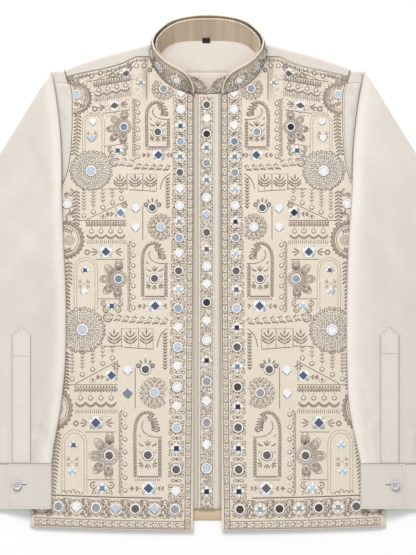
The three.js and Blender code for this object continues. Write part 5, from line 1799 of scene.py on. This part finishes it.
for name, half, rows, threads in (
        ("jacket_collar", JACKET_COLLAR, np.arange(4, 25, 2.6), ("taupe", "haze", "dark", "grey", "sand")),
        ("kurta_collar", KURTA_COLLAR, np.arange(2.2, 33, 2.5), ("haze", "taupe", "sand", "cream", "haze"))):
    length = collar_length(half)
    band = ThreadWork(seed=len(name))
    band.window = lambda p, q: 1.2 < p < length - 1.2
    mirrors = list(np.arange(50.5, length / 2, 24.5)) if half is JACKET_COLLAR else []
    mirrors += [length - spot for spot in mirrors]
    for spot in mirrors:
        # The glasses near the collar's front ends get the white painted reflection, the rest the light one.
        tone = "white" if abs(spot - length / 2) > length / 2 - 60 else "light"
        band.mirror(spot, COLLAR_MIRROR_Y, "round", tone, 0.92)
        band.petals(spot, COLLAR_MIRROR_Y, 8.8, 14, 4, 2.2, "dark")
    for i, q in enumerate(rows):
        for p in np.arange(2, length - 2, 3.0):
            clear = all(math.hypot(p - spot, q - COLLAR_MIRROR_Y) > 9.6 for spot in mirrors)
            if clear and band.random.random() < 0.93:
                thread = threads[band.random.integers(5)]
                if half is JACKET_COLLAR:
                    swaps = {"sand": "brown"} if p < length / 2 else {"dark": "cream", "grey": "haze"}
                    thread = swaps.get(thread, thread)
                band.leaf(p, q, (52 if i % 2 else 128) + band.random.normal(0, 9), 4.4, 1.9, thread, 0.6)
    along = np.linspace(1, length - 1, 120)
    for q, thread, width in COLLAR_LINES:
        band.run(line(along, q), width, thread, 2.6, 0.6)
    sew(f"{name}_thread_work", band, collar_surface(half, length))
    if half is KURTA_COLLAR:
        rim = ThreadWork(seed=3)
        for start in (1, 2.6):
            rim.run(line(np.linspace(start, length - 1, 120), 0), 2.4, "cream", 3.2, 0.7)
        sew(f"{name}_rim", rim, collar_edge_surface(half, length))

# The sewing on the sleeves and cuffs: lines of fine thread beside the edges and the box at the top
# of each sleeve placket.
CUFF_ROWS = (-288.6, -350.4)
BUTTONHOLE_Y = -317.6


def sleeve_trim_surface(sign, thickness):
    """Places on the upper side of a sleeve or cuff, for distances outwards and heights."""
    def read(p, q):
        folds = np.where(q > CUFF_TOP_Y, ridges(SLEEVE_FOLDS, p, q), 0)
        return level_places(sign * p, q, sleeve_floor(p, q) + thickness + folds, sign)
    return read


for side, sign in SIDES:
    centre = SLEEVE_TRIM[side]["placket_x"]
    half = SLEEVE_PLACKET_WIDTH / 2
    box_y = -124.9 if side == "right" else -121.2
    shoulder_y = SLEEVE_PLACKET_SHOULDER_Y
    strip_lines = ThreadWork(seed=5)
    for inset, width, thread in ((0.5, 0.9, "seam"), (2.6, 0.55, "sand")):
        reach = half - inset
        strip_lines.run(np.array([
            (centre - reach, CUFF_TOP_Y + 1), (centre - reach, shoulder_y - inset),
            (centre, SLEEVE_PLACKET_POINT_Y - 1.4 * inset), (centre + reach, shoulder_y - inset),
            (centre + reach, CUFF_TOP_Y + 1)]), width, thread, 2.2, 0.35)
    strip_lines.run(line([centre - half + 2, centre + half - 2], box_y), 1.1, "seam", 2.2, 0.4)
    sew(f"sleeve_placket_stitches_{side}", strip_lines,
        sleeve_trim_surface(sign, SLEEVE_THICKNESS + KURTA_CLOTH + SEAM + 0.4))
    fold_x = SLEEVE_SECTIONS[-1][FOLD_COLUMN[side]] + 0.4
    overlap_x = SLEEVE_TRIM[side]["overlap_x"]
    cuff_lines = ThreadWork(seed=6)
    for row in CUFF_ROWS:
        cuff_lines.run(line([fold_x + 3, overlap_x - 3.4], row), 0.55, "sand", 2.2, 0.35)
    seam = line([fold_x + 2.5, fold_x + CUFF_WIDTH - 6], CUFF_TOP_Y - 0.9)
    cuff_lines.run(seam, 1.1, "seam", 2.4, 0.4)
    cuff_lines.run(line(overlap_x - 3.4, CUFF_ROWS), 0.55, "sand", 2.2, 0.35)
    button_x = SLEEVE_TRIM[side]["button_x"]
    buttonhole = line([button_x - 14.5, button_x - 4], BUTTONHOLE_Y)
    cuff_lines.satin(buttonhole, 2.2, "hole", 0.7, 0.5)
    sew(f"cuff_stitches_{side}", cuff_lines,
        sleeve_trim_surface(sign, CUFF_THICKNESS + CUFF_OVERLAP_STEP * 0.98))

# The cuff buttons: pearly shell discs with a turned rim and four holes, sewn with two bars of grey
# thread.
BUTTON_Y = -318.4
# Distance from the middle and height, round the disc from the rim's foot to the middle.
BUTTON_PROFILE = [
    (5.6, 0), (6.6, 0.35), (6.9, 1.1), (6.7, 2), (6.1, 2.5), (5.3, 2.45), (4.7, 1.9), (4.2, 1.55),
    (3.4, 1.5), (0.02, 1.5),
]
pearl, pearl_tree, pearl_surface = new_material("pearly shell", Roughness=0.22, Coat_Weight=0.4)
place = add_node(pearl_tree, "ShaderNodeTexCoord")
swirl = add_node(pearl_tree, "ShaderNodeTexNoise", {
    "Vector": place.outputs["Object"], "Scale": 260.0, "Detail": 3.0, "Distortion": 1.4})
lustre = add_node(pearl_tree, "ShaderNodeMix", {
    0: swirl.outputs[0], 6: dye("8f9098"), 7: dye("f0eeec")}, data_type="RGBA")
pearl_tree.links.new(lustre.outputs[2], pearl_surface.inputs["Base Color"])
for side, sign in SIDES:
    button_x = SLEEVE_TRIM[side]["button_x"]
    foot = float(sleeve_floor(button_x - 7, BUTTON_Y)) + CUFF_THICKNESS + CUFF_OVERLAP_STEP + SEAM + 0.5
    turn = np.arange(28) * 2 * math.pi / 28
    over, under = (
        np.array([[(sign * button_x + r * math.cos(a), BUTTON_Y + r * math.sin(a), foot + z * lift)
                   for a in turn] for r, z in BUTTON_PROFILE])
        for lift in (1.0, 0.0))
    button = make_piece(f"cuff_button_shell_{side}", [wall(over, under, is_round=True)], [pearl])
    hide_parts(f"cuff_button_{side}")
    sewn = ThreadWork(seed=9)
    for i in (-1, 1):
        for j in (-1, 1):
            sewn.leaf(i * 1.7, j * 1.7, 0, 1.9, 1.9, "hole", 0.35)
        sewn.leaf(0, i * 1.7, 0, 3.6, 0.7, "grey", 0.5)

    def button_surface(p, q):
        """Places on the button's sunk face."""
        return level_places(sign * button_x + p, BUTTON_Y + q, foot + 1.5)

    sew(f"cuff_button_thread_{side}", sewn, button_surface)
